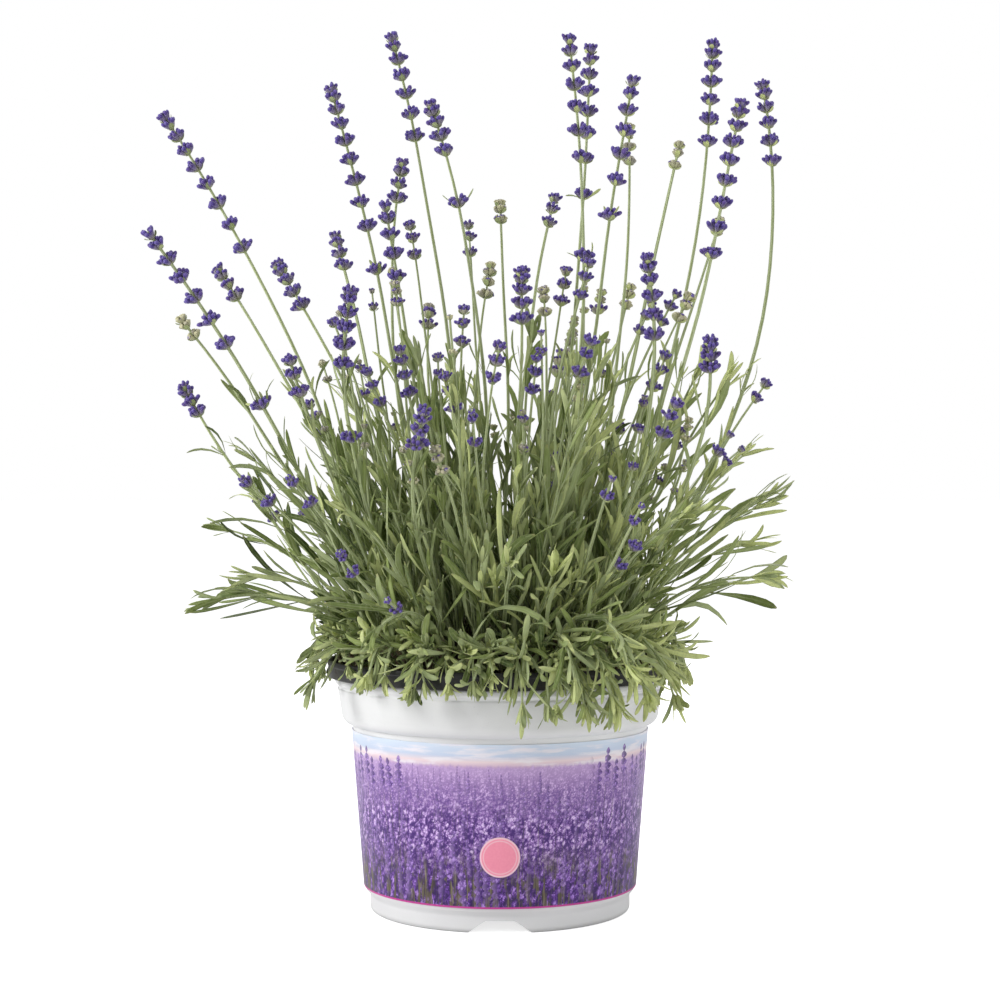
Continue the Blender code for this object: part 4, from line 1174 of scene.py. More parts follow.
class Growth:
    """Stems, leaves, calyces and buds of one piece, collected first and built together."""

    def __init__(self, seed):
        self.rng = random.Random(plant_sizes().seed * 1000 + seed)
        self.stems, self.leaves, self.calyces, self.buds = [], [], [], []

    def vary(self, value, share):
        """The value, up to share larger or smaller."""
        return value * self.rng.uniform(1 - share, 1 + share)

    def stem(self, stem, foot, top, wood=0.0):
        """Adds a stem with its radii at foot and top. Its lowest part, wood metres long, is brown."""
        self.stems.append((stem, foot, top, wood, self.rng.random()))
        return stem

    def leaf(self, base, heading, up, length, width, bend, sway, twist, tone):
        """bend curls the leaf down, sway to its side and twist round itself, all in radians."""
        self.leaves.append((*base, *heading, *up, length, width, bend, sway, twist, tone))

    def leaf_on(self, place, direction, out, angle, length, width, bend, tone, sway=None, twist=None):
        """A leaf that leaves its stem at an angle, its upper face towards the tip."""
        heading = direction * math.cos(angle) + out * math.sin(angle)
        up = direction * math.sin(angle) - out * math.cos(angle)
        rng = self.rng
        sway = rng.gauss(0, 0.46) if sway is None else sway
        twist = rng.gauss(0, 0.60) if twist is None else twist
        self.leaf(place + out * 0.0004, heading, up, length, width, bend, sway, twist, tone)

    def node(self, stem, t, turn, angle, length, bend, tone, width=None, tuft=0, droop=0.0):
        """A pair of opposite leaves, with a tuft of young leaves in their axils.

        droop is how much further down the leaves bend that point away from the pot.
        """
        rng = self.rng
        place, direction, side, other = (value[0] for value in stem.frame([t]))
        width = plant_sizes().leaf_width if width is None else width
        for half in range(2):
            phi = turn + math.pi * half + rng.gauss(0, 0.16)
            out = side * math.cos(phi) + other * math.sin(phi)
            size = length * rng.uniform(0.76, 1.14)
            outward = float(out[:2] @ place[:2]) / max(0.01, float(np.hypot(*place[:2])))
            sag = bend + droop * max(0.0, outward) + rng.gauss(0, 0.62)
            self.leaf_on(
                place,
                direction,
                out,
                self.vary(angle, 0.25),
                size,
                self.vary(width, 0.20) * min(1.0, 0.60 + 0.40 * size / plant_sizes().leaf_length),
                sag,
                min(1.0, max(0.0, tone + rng.gauss(0, 0.26))),
            )
            for _ in range(tuft):
                phi_young = phi + rng.gauss(0, 0.75)
                out_young = side * math.cos(phi_young) + other * math.sin(phi_young)
                young = size * 0.5 * rng.uniform(0.55, 1.15)
                self.leaf_on(
                    place + direction * rng.uniform(0.0, 0.002),
                    direction,
                    out_young,
                    angle * rng.uniform(0.25, 0.9),
                    young,
                    width * rng.uniform(0.48, 0.75),
                    rng.gauss(-0.15, 0.35),
                    min(1.0, max(0.0, tone + 0.26 + rng.gauss(0, 0.12))),
                )

    def leafy(self, stem, start, end, longest, tone, spread, tuft=1, step=0.0115, bend=0.05, **leaf):
        """Pairs of leaves along the stem, longest below the middle and closing up at the tip.

        spread is the lowest leaves' angle to the stem, step the distance between pairs, and leaf may
        hold the width and droop that node takes.
        """
        rng = self.rng
        turn = rng.uniform(0, math.pi)
        count = max(3, int(stem.length * (end - start) / step))
        for index in range(count):
            share = (index + rng.uniform(-0.2, 0.2)) / (count - 1)
            t = start + (end - start) * min(1.0, max(0.0, share))
            size = longest * (1.0 - 0.50 * max(0.0, share - 0.55) / 0.45)
            size = size * (0.78 + 0.22 * min(1.0, share / 0.2))
            angle = spread * (1.0 - 0.42 * share)
            tufts = tuft if rng.random() < 0.75 else 0
            pair_turn = turn + index * math.pi / 2
            self.node(stem, t, pair_turn, angle, size, bend, tone + 0.18 * share, tuft=tufts, **leaf)
        place, direction, side, other = (value[0] for value in stem.frame([end]))
        for index in range(5):
            phi = turn + index * 1.26
            out = side * math.cos(phi) + other * math.sin(phi)
            self.leaf_on(
                place,
                direction,
                out,
                rng.uniform(0.10, 0.42),
                longest * rng.uniform(0.26, 0.52),
                plant_sizes().leaf_width * 0.62,
                rng.gauss(-0.1, 0.25),
                min(1.0, tone + 0.38),
            )

    def floret(self, base, axis, size, green, openness=1.0):
        """A calyx with its bud. green is the calyx's greenness, and openness 0 leaves the bud out."""
        sizes, rng = plant_sizes(), self.rng
        length = sizes.calyx_length * size * rng.uniform(0.88, 1.12)
        radius = 0.00118 * size * rng.uniform(0.9, 1.1)
        self.calyces.append((*base, *axis, radius, length, rng.random(), green))
        if openness > 0:
            tip = base + axis * length * 0.86
            turned_axis = unit(axis + np.array([rng.gauss(0, 0.16) for _ in range(3)]))
            bud = sizes.bud_length * size * rng.uniform(0.72, 1.15) * openness
            bud_radius = radius * rng.uniform(0.98, 1.16)
            self.buds.append((*tip, *turned_axis, bud_radius, bud, rng.random(), 0.0))

    def whorl(self, stem, t, turn, size, rows, green, tilt=0.88):
        """Two opposite clusters of florets over a pair of bracts. rows are the florets of each row."""
        rng = self.rng
        place, direction, side, other = (value[0] for value in stem.frame([t]))
        for half in range(2):
            phi = turn + math.pi * half
            out = side * math.cos(phi) + other * math.sin(phi)
            self.leaf_on(
                place - direction * 0.0004,
                direction,
                out,
                1.25,
                0.0052 * size,
                0.0034 * size,
                -0.9,
                0.62 + 0.3 * rng.random(),
                0.0,
                0.0,
            )
            for row, count in enumerate(rows):
                lean = tilt * (1.0 - 0.48 * row)
                for index in range(count):
                    fan = 0.0 if count == 1 else (index / (count - 1) - 0.5) * (1.9 - 0.3 * row)
                    angle = phi + fan + rng.gauss(0, 0.09)
                    way = side * math.cos(angle) + other * math.sin(angle)
                    tip_lean = lean + rng.gauss(0, 0.10)
                    axis = direction * math.cos(tip_lean) + way * math.sin(tip_lean)
                    base = place + way * 0.0007 + direction * (0.0004 + 0.0007 * row)
                    openness = 1.0 if green < 0.75 else rng.choice((0, 0, 0.25))
                    self.floret(base, axis, size * (1.0 - 0.08 * row), green, openness)

    def crest(self, stem, size, turn, green):
        """The small upright buds at the very tip of a spike."""
        rng = self.rng
        foot = 1 - 0.0042 * size / stem.length
        place, direction, side, other = (value[0] for value in stem.frame([foot]))
        for index in range(6):
            phi = turn + 2 * math.pi * index / 5
            way = side * math.cos(phi) + other * math.sin(phi)
            lean = rng.uniform(0.16, 0.34) if index < 5 else 0.0
            axis = direction * math.cos(lean) + way * math.sin(lean)
            shade = min(1.0, green + 0.3 * rng.random())
            open_share = rng.uniform(0.5, 0.8) if green < 0.5 else rng.choice((0, 0, 0.3))
            self.floret(place + way * 0.0008, axis, size * 0.74, shade, open_share)

    def spike(self, stem, length, whorls, lone, green, size=1.0):
        """The whorls of a flower stalk: a dense tip, then ever wider steps down the stem."""
        rng = self.rng
        reach = stem.length
        turn = rng.uniform(0, math.pi)
        count = whorls + 1
        self.crest(stem, size, turn, green)
        for index in range(1, count + 1):
            below = max(0.0037 * index, length * (index / count) ** 1.55)
            near = min(1.0, (index - 1) / 3)
            rows = ((3, 2), (4, 2), (4, 3))[min(2, index // 2)]
            self.whorl(
                stem,
                1 - below / reach,
                turn + index * math.pi / 2,
                size * (0.90 + 0.14 * near),
                rows,
                min(1.0, green + 0.22 * (1 - near) * rng.random()),
                0.58 + 0.32 * near,
            )
        if lone:
            t = 1 - lone / reach
            self.whorl(stem, t, turn + 0.6, size * 1.02, (4, 3), green)
            self.node(stem, t - 0.002, turn + 0.6, 0.9, 0.013, -0.3, 0.8, 0.0026)

    def build(self, name):
        """One object of everything that was collected."""
        gathering = Gathering()
        self.build_stems(gathering)
        if self.leaves:
            self.build_leaves(gathering)
        for shape, rows, finish in (
            (calyx_shape(), self.calyces, calyx_felt()),
            (bud_shape(), self.buds, bud_violet()),
        ):
            if rows:
                self.build_florets(gathering, shape, np.array(rows), finish)
        return gathering.finish(name)

    def build_stems(self, gathering):
        """Each stem's shape follows its path and narrows from its foot to its top."""
        shape = stem_shape()
        level = shape.level_of
        radial = np.hypot(shape.points[:, 0], shape.points[:, 1])
        ridge = (radial - radial.min()) / (radial.max() - radial.min())
        for stem, foot, top, wood, tone in self.stems:
            place, _, side, other = stem.frame(shape.levels)
            radius = foot + (top - foot) * shape.levels
            flat = shape.points[:, :1] * side[level] + shape.points[:, 1:2] * other[level]
            points = place[level] + radius[level][:, None] * flat
            brown = np.clip(wood - shape.along * stem.length, -0.01, 0.01) * 50 + 0.5
            marks = {
                "along": shape.along,
                "across": ridge,
                "tone": np.array(tone),
                "under": np.clip(brown, 0, 1),
            }
            gathering.add(shape, points[None], marks, stem_green())

    def build_florets(self, gathering, shape, rows, finish):
        """Calyces or buds, each set with its foot at its base and its length along its axis."""
        base, axis = rows[:, 0:3], rows[:, 3:6]
        radius, length, tone, green = (rows[:, column, None, None] for column in range(6, 10))
        steep = np.abs(axis[:, 2:]) > 0.8
        side = unit(np.cross(axis, np.where(steep, np.array([[1.0, 0, 0]]), np.array([[0, 0, 1.0]]))))
        other = np.cross(axis, side)
        x, y, z = (shape.points[None, :, column, None] for column in range(3))
        flat = x * side[:, None] + y * other[:, None]
        points = base[:, None] + radius * flat + length * z * axis[:, None]
        radial = np.hypot(shape.points[:, 0], shape.points[:, 1])
        fold = np.abs(np.sin(1.5 * np.arctan2(shape.points[:, 1], shape.points[:, 0])))
        marks = {
            "along": shape.along,
            "across": fold * (radial > 0),
            "tone": tone[..., 0],
            "under": green[..., 0],
        }
        gathering.add(shape, points, marks, finish)

    def build_leaves(self, gathering):
        """Each leaf's shape follows its own curve. Leaves that would touch the pots are left out."""
        shape = leaf_shape()
        rows = np.array(self.leaves)
        base, heading, up = rows[:, None, 0:3], rows[:, None, 3:6], rows[:, None, 6:9]
        length, width, bend, sway, twist, tone = (rows[:, column, None] for column in range(9, 15))
        s = shape.levels[None]
        side = np.cross(up, heading)
        a, b, c = (value[..., None] for value in (bend * s**1.3, sway * s**1.2, twist * s))
        lifted = np.cos(a) * heading - np.sin(a) * up
        normal = np.cos(a) * up + np.sin(a) * heading
        direction = np.cos(b) * lifted + np.sin(b) * side
        across = np.cos(b) * side - np.sin(b) * lifted
        upper = np.cos(c) * normal + np.sin(c) * across
        across = np.cos(c) * across - np.sin(c) * normal
        steps = np.diff(s, axis=1)[..., None] * (direction[:, 1:] + direction[:, :-1]) / 2
        run = np.concatenate([np.zeros_like(base), np.cumsum(steps, axis=1)], axis=1)
        centre = base + length[..., None] * run
        keep = self.clear_of_pots(centre)
        level = shape.level_of
        x, y = shape.points[None, :, :1], shape.points[None, :, 1:2]
        flat = x * across[:, level] + y * upper[:, level]
        points = centre[:, level] + (width / 2)[..., None] * flat
        reach = [np.abs(shape.points[level == ring, 0]).max() for ring in range(len(shape.levels))]
        reach = np.array(reach)
        # The leaves' tone gets painted light on the plant's right and painted shade on its left
        to_right = centre[keep][:, :1, 0]
        marks = {
            "along": shape.along,
            "across": shape.points[:, 0] / reach[level],
            "tone": np.clip(tone[keep] + np.where(to_right > 0, *PAINTED_SIDE_LIGHT_PER_METRE) * to_right, 0, 1),
            "under": (shape.points[:, 1] < -0.17 * reach[level]).astype(float),
        }
        gathering.add(shape, points[keep], marks, leaf_green())

    def clear_of_pots(self, centre):
        """True for each leaf that stays off the soil, the rims and the pot's wall, and in the CAD's box."""
        radius = np.hypot(centre[..., 0], centre[..., 1])
        height = centre[..., 2]
        in_soil = (radius < SOIL_EDGE) & (height < SOIL_TOP + 0.0004)
        in_rim = (radius > SOIL_EDGE - 0.0010) & (radius < SOIL_EDGE + 0.0040)
        in_rim = in_rim & (height < POT_TOP + GROW_RIM_HEIGHT + 0.0012)
        in_wall = (radius < SOIL_EDGE) & (height < POT_TOP)
        keep = ~(in_soil | in_rim | in_wall)[:, 1:].any(axis=1)
        low, high = (np.array(corner) for corner in CAD_BOX)
        margin = 0.02 * (high - low) + 0.006
        inside = ((centre > low - margin) & (centre < high + margin)).all(axis=(1, 2))
        return keep & inside


def make_soil():
    """The peat that fills the grower's pot almost up to its rim, with a rough surface."""
    rings = [(0.003 + 0.0960 * index / 23, SOIL_TOP) for index in range(24)]
    neck = grow_radius(GROW_NECK) - GROW_WALL - GAP
    step = POT_TOP + 2 * GAP + GROW_WALL
    outline = [
        *rings,
        (SOIL_EDGE, step),
        (neck, step),
        (neck, GROW_NECK),
        (grow_radius(SOIL_LOW) - GROW_WALL - GAP, SOIL_LOW),
        (0.02, SOIL_LOW),
    ]
    obj = turned("peat_soil", 96, outline)
    for vertex in obj.data.vertices:
        if vertex.co.z > SOIL_TOP - 0.0001:
            edge = min(1.0, (SOIL_EDGE - math.hypot(vertex.co.x, vertex.co.y)) / 0.004)
            rough = noise.noise(vertex.co * 60) * 1.3 + noise.noise(vertex.co * 190) * 0.9
            rough = rough + noise.noise(vertex.co * 420) * 0.6
            vertex.co.z += 0.0011 * rough * edge - 0.0008 * edge
    smooth_shade(obj, 60)
    hand_over(obj, potting_soil(), "potting_soil", "soil")


def make_crumbs():
    """Loose crumbs of peat on the soil."""
    rng = Growth(3).rng
    start_piece()
    bpy.ops.mesh.primitive_ico_sphere_add(subdivisions=2, radius=1.0)
    ball = bpy.context.active_object
    for vertex in ball.data.vertices:
        vertex.co *= 1.0 + 0.28 * noise.noise(vertex.co * 1.7)
    crumb = Shape(ball)
    copies = []
    for _ in range(CRUMBS):
        angle, radius = rng.uniform(0, 2 * math.pi), 0.096 * math.sqrt(rng.uniform(0.02, 1))
        size = 0.0007 + 0.0021 * rng.random() ** 3
        stretch = np.array([rng.uniform(0.7, 1.5), rng.uniform(0.6, 1.2), rng.uniform(0.5, 0.9)]) * size
        turn = rng.uniform(0, math.pi)
        cosine, sine = math.cos(turn), math.sin(turn)
        spun = (crumb.points * stretch) @ np.array([[cosine, sine, 0], [-sine, cosine, 0], [0, 0, 1.0]])
        place = (radius * math.cos(angle), radius * math.sin(angle), SOIL_TOP + size * 0.1)
        copies.append(spun + np.array(place))
    gathering = Gathering()
    marks = {name: np.zeros(1) for name in Gathering.MARKS}
    gathering.add(crumb, np.array(copies), marks, potting_soil())
    crumbs = gathering.finish("soil_crumbs")
    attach(crumbs, "root")


CROWN_OUTLINE = [
    (0.0132, 0.0),
    (0.0128, 0.2),
    (0.0118, 0.45),
    (0.0110, 0.6),
    (0.0096, 0.72),
    (0.0070, 0.80),
    (0.0020, 0.82),
]
STUBS, STUB_RING, STUB_HEIGHT, STUB_LENGTH, STUB_LEAN = 5, 0.0056, 0.0168, 0.0128, 28
STUB_FOOT_RADIUS, STUB_TOP_RADIUS = 0.0031, 0.0022


def make_crown():
    """The woody knot in the middle of the soil, with stubs of cut stems."""
    low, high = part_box("woody_crown")
    height = high[2] - low[2]
    outline = [(radius, SOIL_TOP + GAP + share * height) for radius, share in CROWN_OUTLINE]
    obj = turned("crown_wood", 36, outline)
    for vertex in obj.data.vertices:
        wave = 1.0 + 0.20 * noise.noise(Vector((vertex.co.x, vertex.co.y, 0)) * 150) - 0.04
        vertex.co.x *= wave
        vertex.co.y *= wave
    stubs = []
    for index in range(STUBS):
        turn = 2 * math.pi * index / STUBS
        place = (STUB_RING * math.cos(turn), STUB_RING * math.sin(turn), SOIL_TOP + GAP + STUB_HEIGHT)
        start_piece()
        bpy.ops.mesh.primitive_cone_add(
            vertices=12,
            radius1=STUB_FOOT_RADIUS,
            radius2=STUB_TOP_RADIUS,
            depth=STUB_LENGTH,
            location=place,
            rotation=(0, math.radians(STUB_LEAN), turn),
        )
        stubs.append(bpy.context.active_object)
    cut_away(obj, stubs, "UNION")
    smooth_shade(obj, 50)
    hand_over(obj, crown_bark(), "crown_bark", "woody_crown")


def finish_growth(growth, name, slot, *nodes):
    """Builds the growth and has it ride on the pot, in place of the frame's nodes if any are named."""
    piece = growth.build(name)
    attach(piece, "root")
    if nodes:
        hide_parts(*nodes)


# The thin stems are split into a few pieces, so that none gets too heavy
SIDE_SPIKE_PIECES, YOUNG_STALK_PIECES = 3, 2
# The first seed of each kind of piece
STALK_SEED, SHOOT_SEED, SIDE_SPIKE_SEED, YOUNG_STALK_SEED = 100, 200, 300, 310
FOLIAGE_SEED, SPRAY_SEED, DRAPE_SEED, TALL_LEAF_SEED = 400, 500, 510, 520


def make_stalk(index, tip, middle, length, whorls, lone, green):
    """A tall stem with leaves on its lower part and a spike of whorls at its tip."""
    growth = Growth(STALK_SEED + index)
    rng = growth.rng
    tip = np.array((tip[0], tip[1], SOIL_TOP + tip[2] - 0.0025))
    root = root_of(tip)
    middle = (middle[0], middle[1], (root[2] + tip[2]) / 2)
    stem = growth.stem(Stem(root, middle, tip, rng), plant_sizes().stem_radius, 0.00088, 0.022)
    growth.spike(stem, length, whorls, lone, green)
    turn = rng.uniform(0, math.pi)
    leafy_top = min(0.72, 0.165 / stem.length)
    growth.leafy(stem, 0.10, leafy_top * 0.70, 0.046, 0.32, 0.46, step=0.0170)
    for step in range(2):
        t = leafy_top * (0.80 + 0.24 * step)
        growth.node(stem, t, turn + step * math.pi / 2, 0.42, 0.034 - 0.008 * step, -0.1, 0.5, 0.0030, tuft=1)
    finish_growth(growth, f"lavender_stalk_{index:02d}", "flower_stalk", f"flower_stalk_{index:02d}")


def make_shoot(index, tip, rise):
    """A leafy stem that bows upwards by its rise on the way to its tip."""
    growth = Growth(SHOOT_SEED + index)
    rng = growth.rng
    tip = np.array((tip[0], tip[1], SOIL_TOP + tip[2]))
    root = root_of(tip)
    tip = root + (tip - root) * 0.95
    middle = (root + tip) / 2 + np.array((0, 0, rise))
    stem = growth.stem(Stem(root, middle, tip, rng), plant_sizes().stem_radius * 1.15, 0.0007, 0.030)
    longest = plant_sizes().leaf_length * rng.uniform(0.92, 1.15)
    tone = 0.20 + 0.46 * rng.random()
    growth.leafy(stem, 0.18, 0.985, longest, tone, 0.48, step=0.0185, bend=-0.28, width=0.0034)
    finish_growth(growth, f"lavender_shoot_{index:02d}", "leafy_shoot", f"leafy_shoot_{index:02d}")


def make_side_spikes(name, rows, seed):
    """Thin stems with a short spike each, one for each row of the table."""
    growth = Growth(seed)
    rng = growth.rng
    for tip, whorls, green in rows:
        tip = np.array((tip[0], tip[1], SOIL_TOP + tip[2] - 0.002))
        root = root_of(tip) + np.array((rng.gauss(0, 0.003), rng.gauss(0, 0.003), 0))
        middle = root * 0.56 + tip * 0.44 + np.array((rng.gauss(0, 0.005), rng.gauss(0, 0.005), 0.012))
        middle[2] = (root[2] + tip[2]) / 2
        stem = growth.stem(Stem(root, middle, tip, rng), plant_sizes().stem_radius * 0.85, 0.00070, 0.018)
        if green < 0.6:
            low = tip[2] < SOIL_TOP + 0.15
            growth.spike(stem, 0.010 + 0.006 * whorls, whorls - low, None, green, rng.uniform(0.76, 0.96))
        else:
            growth.spike(stem, 0.008 + 0.0042 * whorls, whorls, None, green, rng.uniform(0.94, 1.08))
        growth.leafy(stem, 0.12, 0.50, 0.042, 0.42, 0.42, step=0.0250)
    finish_growth(growth, name, "flower_stalk")


def make_foliage(name, count, ring, lean_root, lean_tip, shortest, longest, spread, bend, droop, width, seed):
    """A ring of leafy shoots between the named ones, each bowed from one lean to the other."""
    growth = Growth(seed)
    rng = growth.rng
    for index in range(count):
        angle = 2 * math.pi * (index + rng.uniform(-0.35, 0.35)) / count
        out = np.array((math.cos(angle), math.sin(angle), 0.0))
        radius = min(0.095, ring * rng.uniform(0.78, 1.12))
        length = rng.uniform(shortest, longest)
        sideways = 1.0 - 0.45 * abs(out[0]) ** 3
        first, last = (math.radians(value * sideways + rng.gauss(0, 5)) for value in (lean_root, lean_tip))
        root = out * radius + np.array((0, 0, SOIL_TOP + GAP))
        middle = root + 0.5 * length * (out * math.sin(first) + np.array((0, 0, math.cos(first))))
        tip = middle + 0.5 * length * (out * math.sin(last) + np.array((0, 0, math.cos(last))))
        swing = np.cross(out, (0, 0, 1.0)) * rng.gauss(0, 0.10) * length
        stem = growth.stem(
            Stem(root, (middle + root * 0.5 + tip * 0.5) / 2 + swing * 0.3, tip + swing, rng),
            plant_sizes().stem_radius,
            0.00065,
            0.024,
        )
        tone = 0.02 + 0.78 * rng.random()
        size = plant_sizes().leaf_length * rng.uniform(0.72, 1.15) * min(1.0, 0.38 + length / 0.12)
        size *= sideways if length < 0.040 else 1.0
        step = min(0.0160, 0.0035 + length * 0.11)
        growth.leafy(stem, 0.08, 0.985, size, tone, spread, 1, step, bend, width=width, droop=droop)
    finish_growth(growth, name, "leafy_shoot")


def make_young_stalks(name, first, last, seed):
    """Short stalks with small and mostly green spikes, from the first number up to the last."""
    growth = Growth(seed)
    rng = growth.rng
    count, lowest, highest = YOUNG_STALKS
    for index in range(first, last):
        angle = 2 * math.pi * (index * 0.382 + rng.uniform(-0.04, 0.04))
        height = rng.uniform(lowest, highest)
        reach = 0.030 + 0.085 * math.sqrt(rng.uniform(0.05, 1))
        tip = np.array((reach * math.cos(angle), reach * math.sin(angle), SOIL_TOP + height))
        root = np.array((0.62 * tip[0], 0.62 * tip[1], SOIL_TOP + GAP))
        root[:2] += np.array((rng.gauss(0, 0.005), rng.gauss(0, 0.005)))
        middle = (root + tip) / 2 + np.array((rng.gauss(0, 0.004), rng.gauss(0, 0.004), 0.002))
        stem = growth.stem(Stem(root, middle, tip, rng), plant_sizes().stem_radius * 0.82, 0.00068, 0.018)
        length, whorls = rng.uniform(0.012, 0.026), rng.choice((0, 1, 2))
        growth.spike(stem, length, whorls, None, rng.choice((0.35, 0.7, 1.0)), 0.72)
        growth.leafy(stem, 0.12, 0.50, 0.040, 0.42, 0.45, step=0.0260)
    finish_growth(growth, name, "flower_stalk")


def make_tall_leaves():
    """Stems with a few long leaves that reach up between the stalks."""
    growth = Growth(TALL_LEAF_SEED)
    rng = growth.rng
    for tip, longest in TALL_LEAVES:
        tip = np.array((tip[0], tip[1], SOIL_TOP + tip[2]))
        root = root_of(tip)
        tip = root + (tip - root) * 0.88
        middle = (root + tip) / 2 + np.array((rng.gauss(0, 0.004), rng.gauss(0, 0.004), 0.010))
        stem = growth.stem(Stem(root, middle, tip, rng), plant_sizes().stem_radius, 0.0008, 0.024)
        tone = rng.uniform(0.0, 0.35)
        growth.leafy(stem, 0.38, 0.97, longest, tone, 0.50, 0, 0.0260, -0.05, width=0.0046)
    finish_growth(growth, "tall_leaves", "leafy_shoot")


def make_rim_drape():
    """Short shoots that arch over both rims. Those at the right front hang lower and longer."""
    growth = Growth(DRAPE_SEED)
    rng = growth.rng
    count, arch, reach, low = RIM_DRAPE
    for index in range(count):
        angle = 2 * math.pi * (index + rng.uniform(-0.4, 0.4)) / count
        out = np.array((math.cos(angle), math.sin(angle), 0.0))
        up = np.array((0, 0, 1.0))
        sway = np.cross(out, up) * rng.gauss(0, 0.010)
        root = out * rng.uniform(0.082, 0.092) + up * (SOIL_TOP + GAP)
        middle = out * 0.1005 + up * (SOIL_TOP + arch * rng.uniform(0.85, 1.25)) + sway * 0.4
        if rng.random() < 0.62 * abs(out[0]) ** 4:
            continue
        hangs = out[1] < 0 and 0.20 < out[0] < 0.90
        drop = low - (0.011 if hangs else 0.0) + rng.gauss(0, 0.003)
        hang = reach + (0.005 if hangs else -0.006 * abs(out[0])) + rng.gauss(0, 0.0025)
        tip = out * hang + up * (SOIL_TOP + drop) + sway
        path = Stem(root, middle, tip, rng, 0.0006)
        stem = growth.stem(path, plant_sizes().stem_radius * 0.8, 0.00065, 0.006)
        tone = 0.25 + 0.55 * rng.random()
        longest = rng.uniform(0.022, 0.036) if hangs else rng.uniform(0.016, 0.027)
        growth.leafy(stem, 0.30, 0.97, longest, tone, 0.85, 1, 0.0070, 0.45, width=0.0043, droop=0.9)
    finish_growth(growth, "rim_drape", "leafy_shoot")


def make_rim_sprays():
    """Leafy sprays that reach out over the rim and hang below it."""
    growth = Growth(SPRAY_SEED)
    rng = growth.rng
    for tip, rise in RIM_SPRAYS:
        tip = np.array((tip[0], tip[1], SOIL_TOP + tip[2]))
        root = np.array((tip[0] * 0.52, tip[1] * 0.52, SOIL_TOP + GAP))
        middle = (root + tip) / 2 + np.array((0, 0, rise))
        stem = growth.stem(Stem(root, middle, tip, rng), plant_sizes().stem_radius, 0.0007, 0.02)
        longest = plant_sizes().leaf_length * rng.uniform(0.65, 0.9)
        growth.leafy(stem, 0.10, 0.98, longest, 0.46, 0.60, step=0.0090)
    finish_growth(growth, "rim_sprays", "leafy_shoot")


# Each light: place, diameter (m) and power (W)
LIGHTS = {
    "key": ((-1.75, -0.75, 1.0), 0.9, 27),
    "top": ((-0.2, 0.0, 2.0), 1.2, 8),
    "fill": ((1.7, -1.1, 0.8), 1.2, 10),
    "back": ((0.6, 1.6, 1.2), 1.2, 12),
}
LIT_PLACE = (0.0, 0.0, 0.25)
CAMERA_PLACE, CAMERA_TILT, CAMERA_LENS = (0.0, -1.200, 0.245), -0.25, 73.2


def soft_light(name, place, size, power):
    """A round light that faces the middle of the plant."""
    start_piece()
    bpy.ops.object.light_add(type="AREA", location=place)
    light = bpy.context.active_object
    light.name = name
    light.data.shape = "DISK"
    light.data.size = size
    light.data.energy = power
    light.rotation_euler = (Vector(LIT_PLACE) - light.location).to_track_quat("-Z", "Y").to_euler()


def make_floor():
    """A wide pale floor that glows for the camera only, so that it runs into the background."""
    start_piece()
    bpy.ops.mesh.primitive_plane_add(size=60.0, location=(0, 20, 0))
    floor = bpy.context.active_object
    floor.name = floor.data.name = "studio_floor"
    bpy.ops.object.transform_apply(location=True, rotation=True, scale=True)
    f = Finish("studio_paper", 0.9, Specular_IOR_Level=0.1, Emission_Color=(1, 1, 1, 1))
    paper = f.noise(f.object_place(), 3, 3)
    seen = f.node("LightPath").outputs["Is Camera Ray"]
    f.feed(f.shader.inputs["Emission Strength"], f.math("MULTIPLY", seen, 0.75))
    floor.data.materials.append(f.finish(f.mix(paper, (0.90, 0.90, 0.90), (0.93, 0.93, 0.93))))


def make_studio():
    """Floor, sky, lights and camera. The camera sees a white sky, and the plant a dimmer one."""
    make_floor()
    scene = bpy.context.scene
    world = bpy.data.worlds.new("studio")
    scene.world = world
    world.use_nodes = True
    tree = world.node_tree
    back = tree.nodes["Background"]
    seen = tree.nodes.new("ShaderNodeBackground")
    seen.inputs["Color"].default_value = (1, 1, 1, 1)
    seen.inputs["Strength"].default_value = 1.0
    back.inputs["Color"].default_value = (0.97, 0.985, 1.0, 1)
    back.inputs["Strength"].default_value = 0.36
    rays = tree.nodes.new("ShaderNodeLightPath")
    choose = tree.nodes.new("ShaderNodeMixShader")
    tree.links.new(rays.outputs["Is Camera Ray"], choose.inputs[0])
    tree.links.new(back.outputs[0], choose.inputs[1])
    tree.links.new(seen.outputs[0], choose.inputs[2])
    tree.links.new(choose.outputs[0], tree.nodes["World Output"].inputs[0])
    for name, light in LIGHTS.items():
        soft_light(name, *light)
    bpy.ops.object.camera_add(location=CAMERA_PLACE)
    camera = bpy.context.active_object
    camera.name = "camera"
    camera.data.lens = CAMERA_LENS
    camera.data.sensor_width = 36.0
    camera.rotation_euler = (math.radians(90 + CAMERA_TILT), 0, 0)
    scene.camera = camera
    scene.view_settings.view_transform = "Standard"
    scene.view_settings.look = "None"
    start_piece()


# Operators


class LAVENDER_OT_cover_pot(bpy.types.Operator):
    """Model the white cover pot"""

    bl_idname = "lavender.cover_pot"
    bl_label = "Cover pot"

    def execute(self, context):
        make_cover_pot()
        return {"FINISHED"}


class LAVENDER_OT_label(bpy.types.Operator):
    """Wrap the printed label round the cover pot"""

    bl_idname = "lavender.label"
    bl_label = "Label"

    def execute(self, context):
        make_label()
        return {"FINISHED"}


class LAVENDER_OT_badge(bpy.types.Operator):
    """Stick the round badge on the label"""

    bl_idname = "lavender.badge"
    bl_label = "Badge"

    def execute(self, context):
        make_badge()
        return {"FINISHED"}


class LAVENDER_OT_grow_pot(bpy.types.Operator):
    """Model the black grower's pot"""

    bl_idname = "lavender.grow_pot"
    bl_label = "Grower's pot"

    def execute(self, context):
        make_grow_pot()
        return {"FINISHED"}


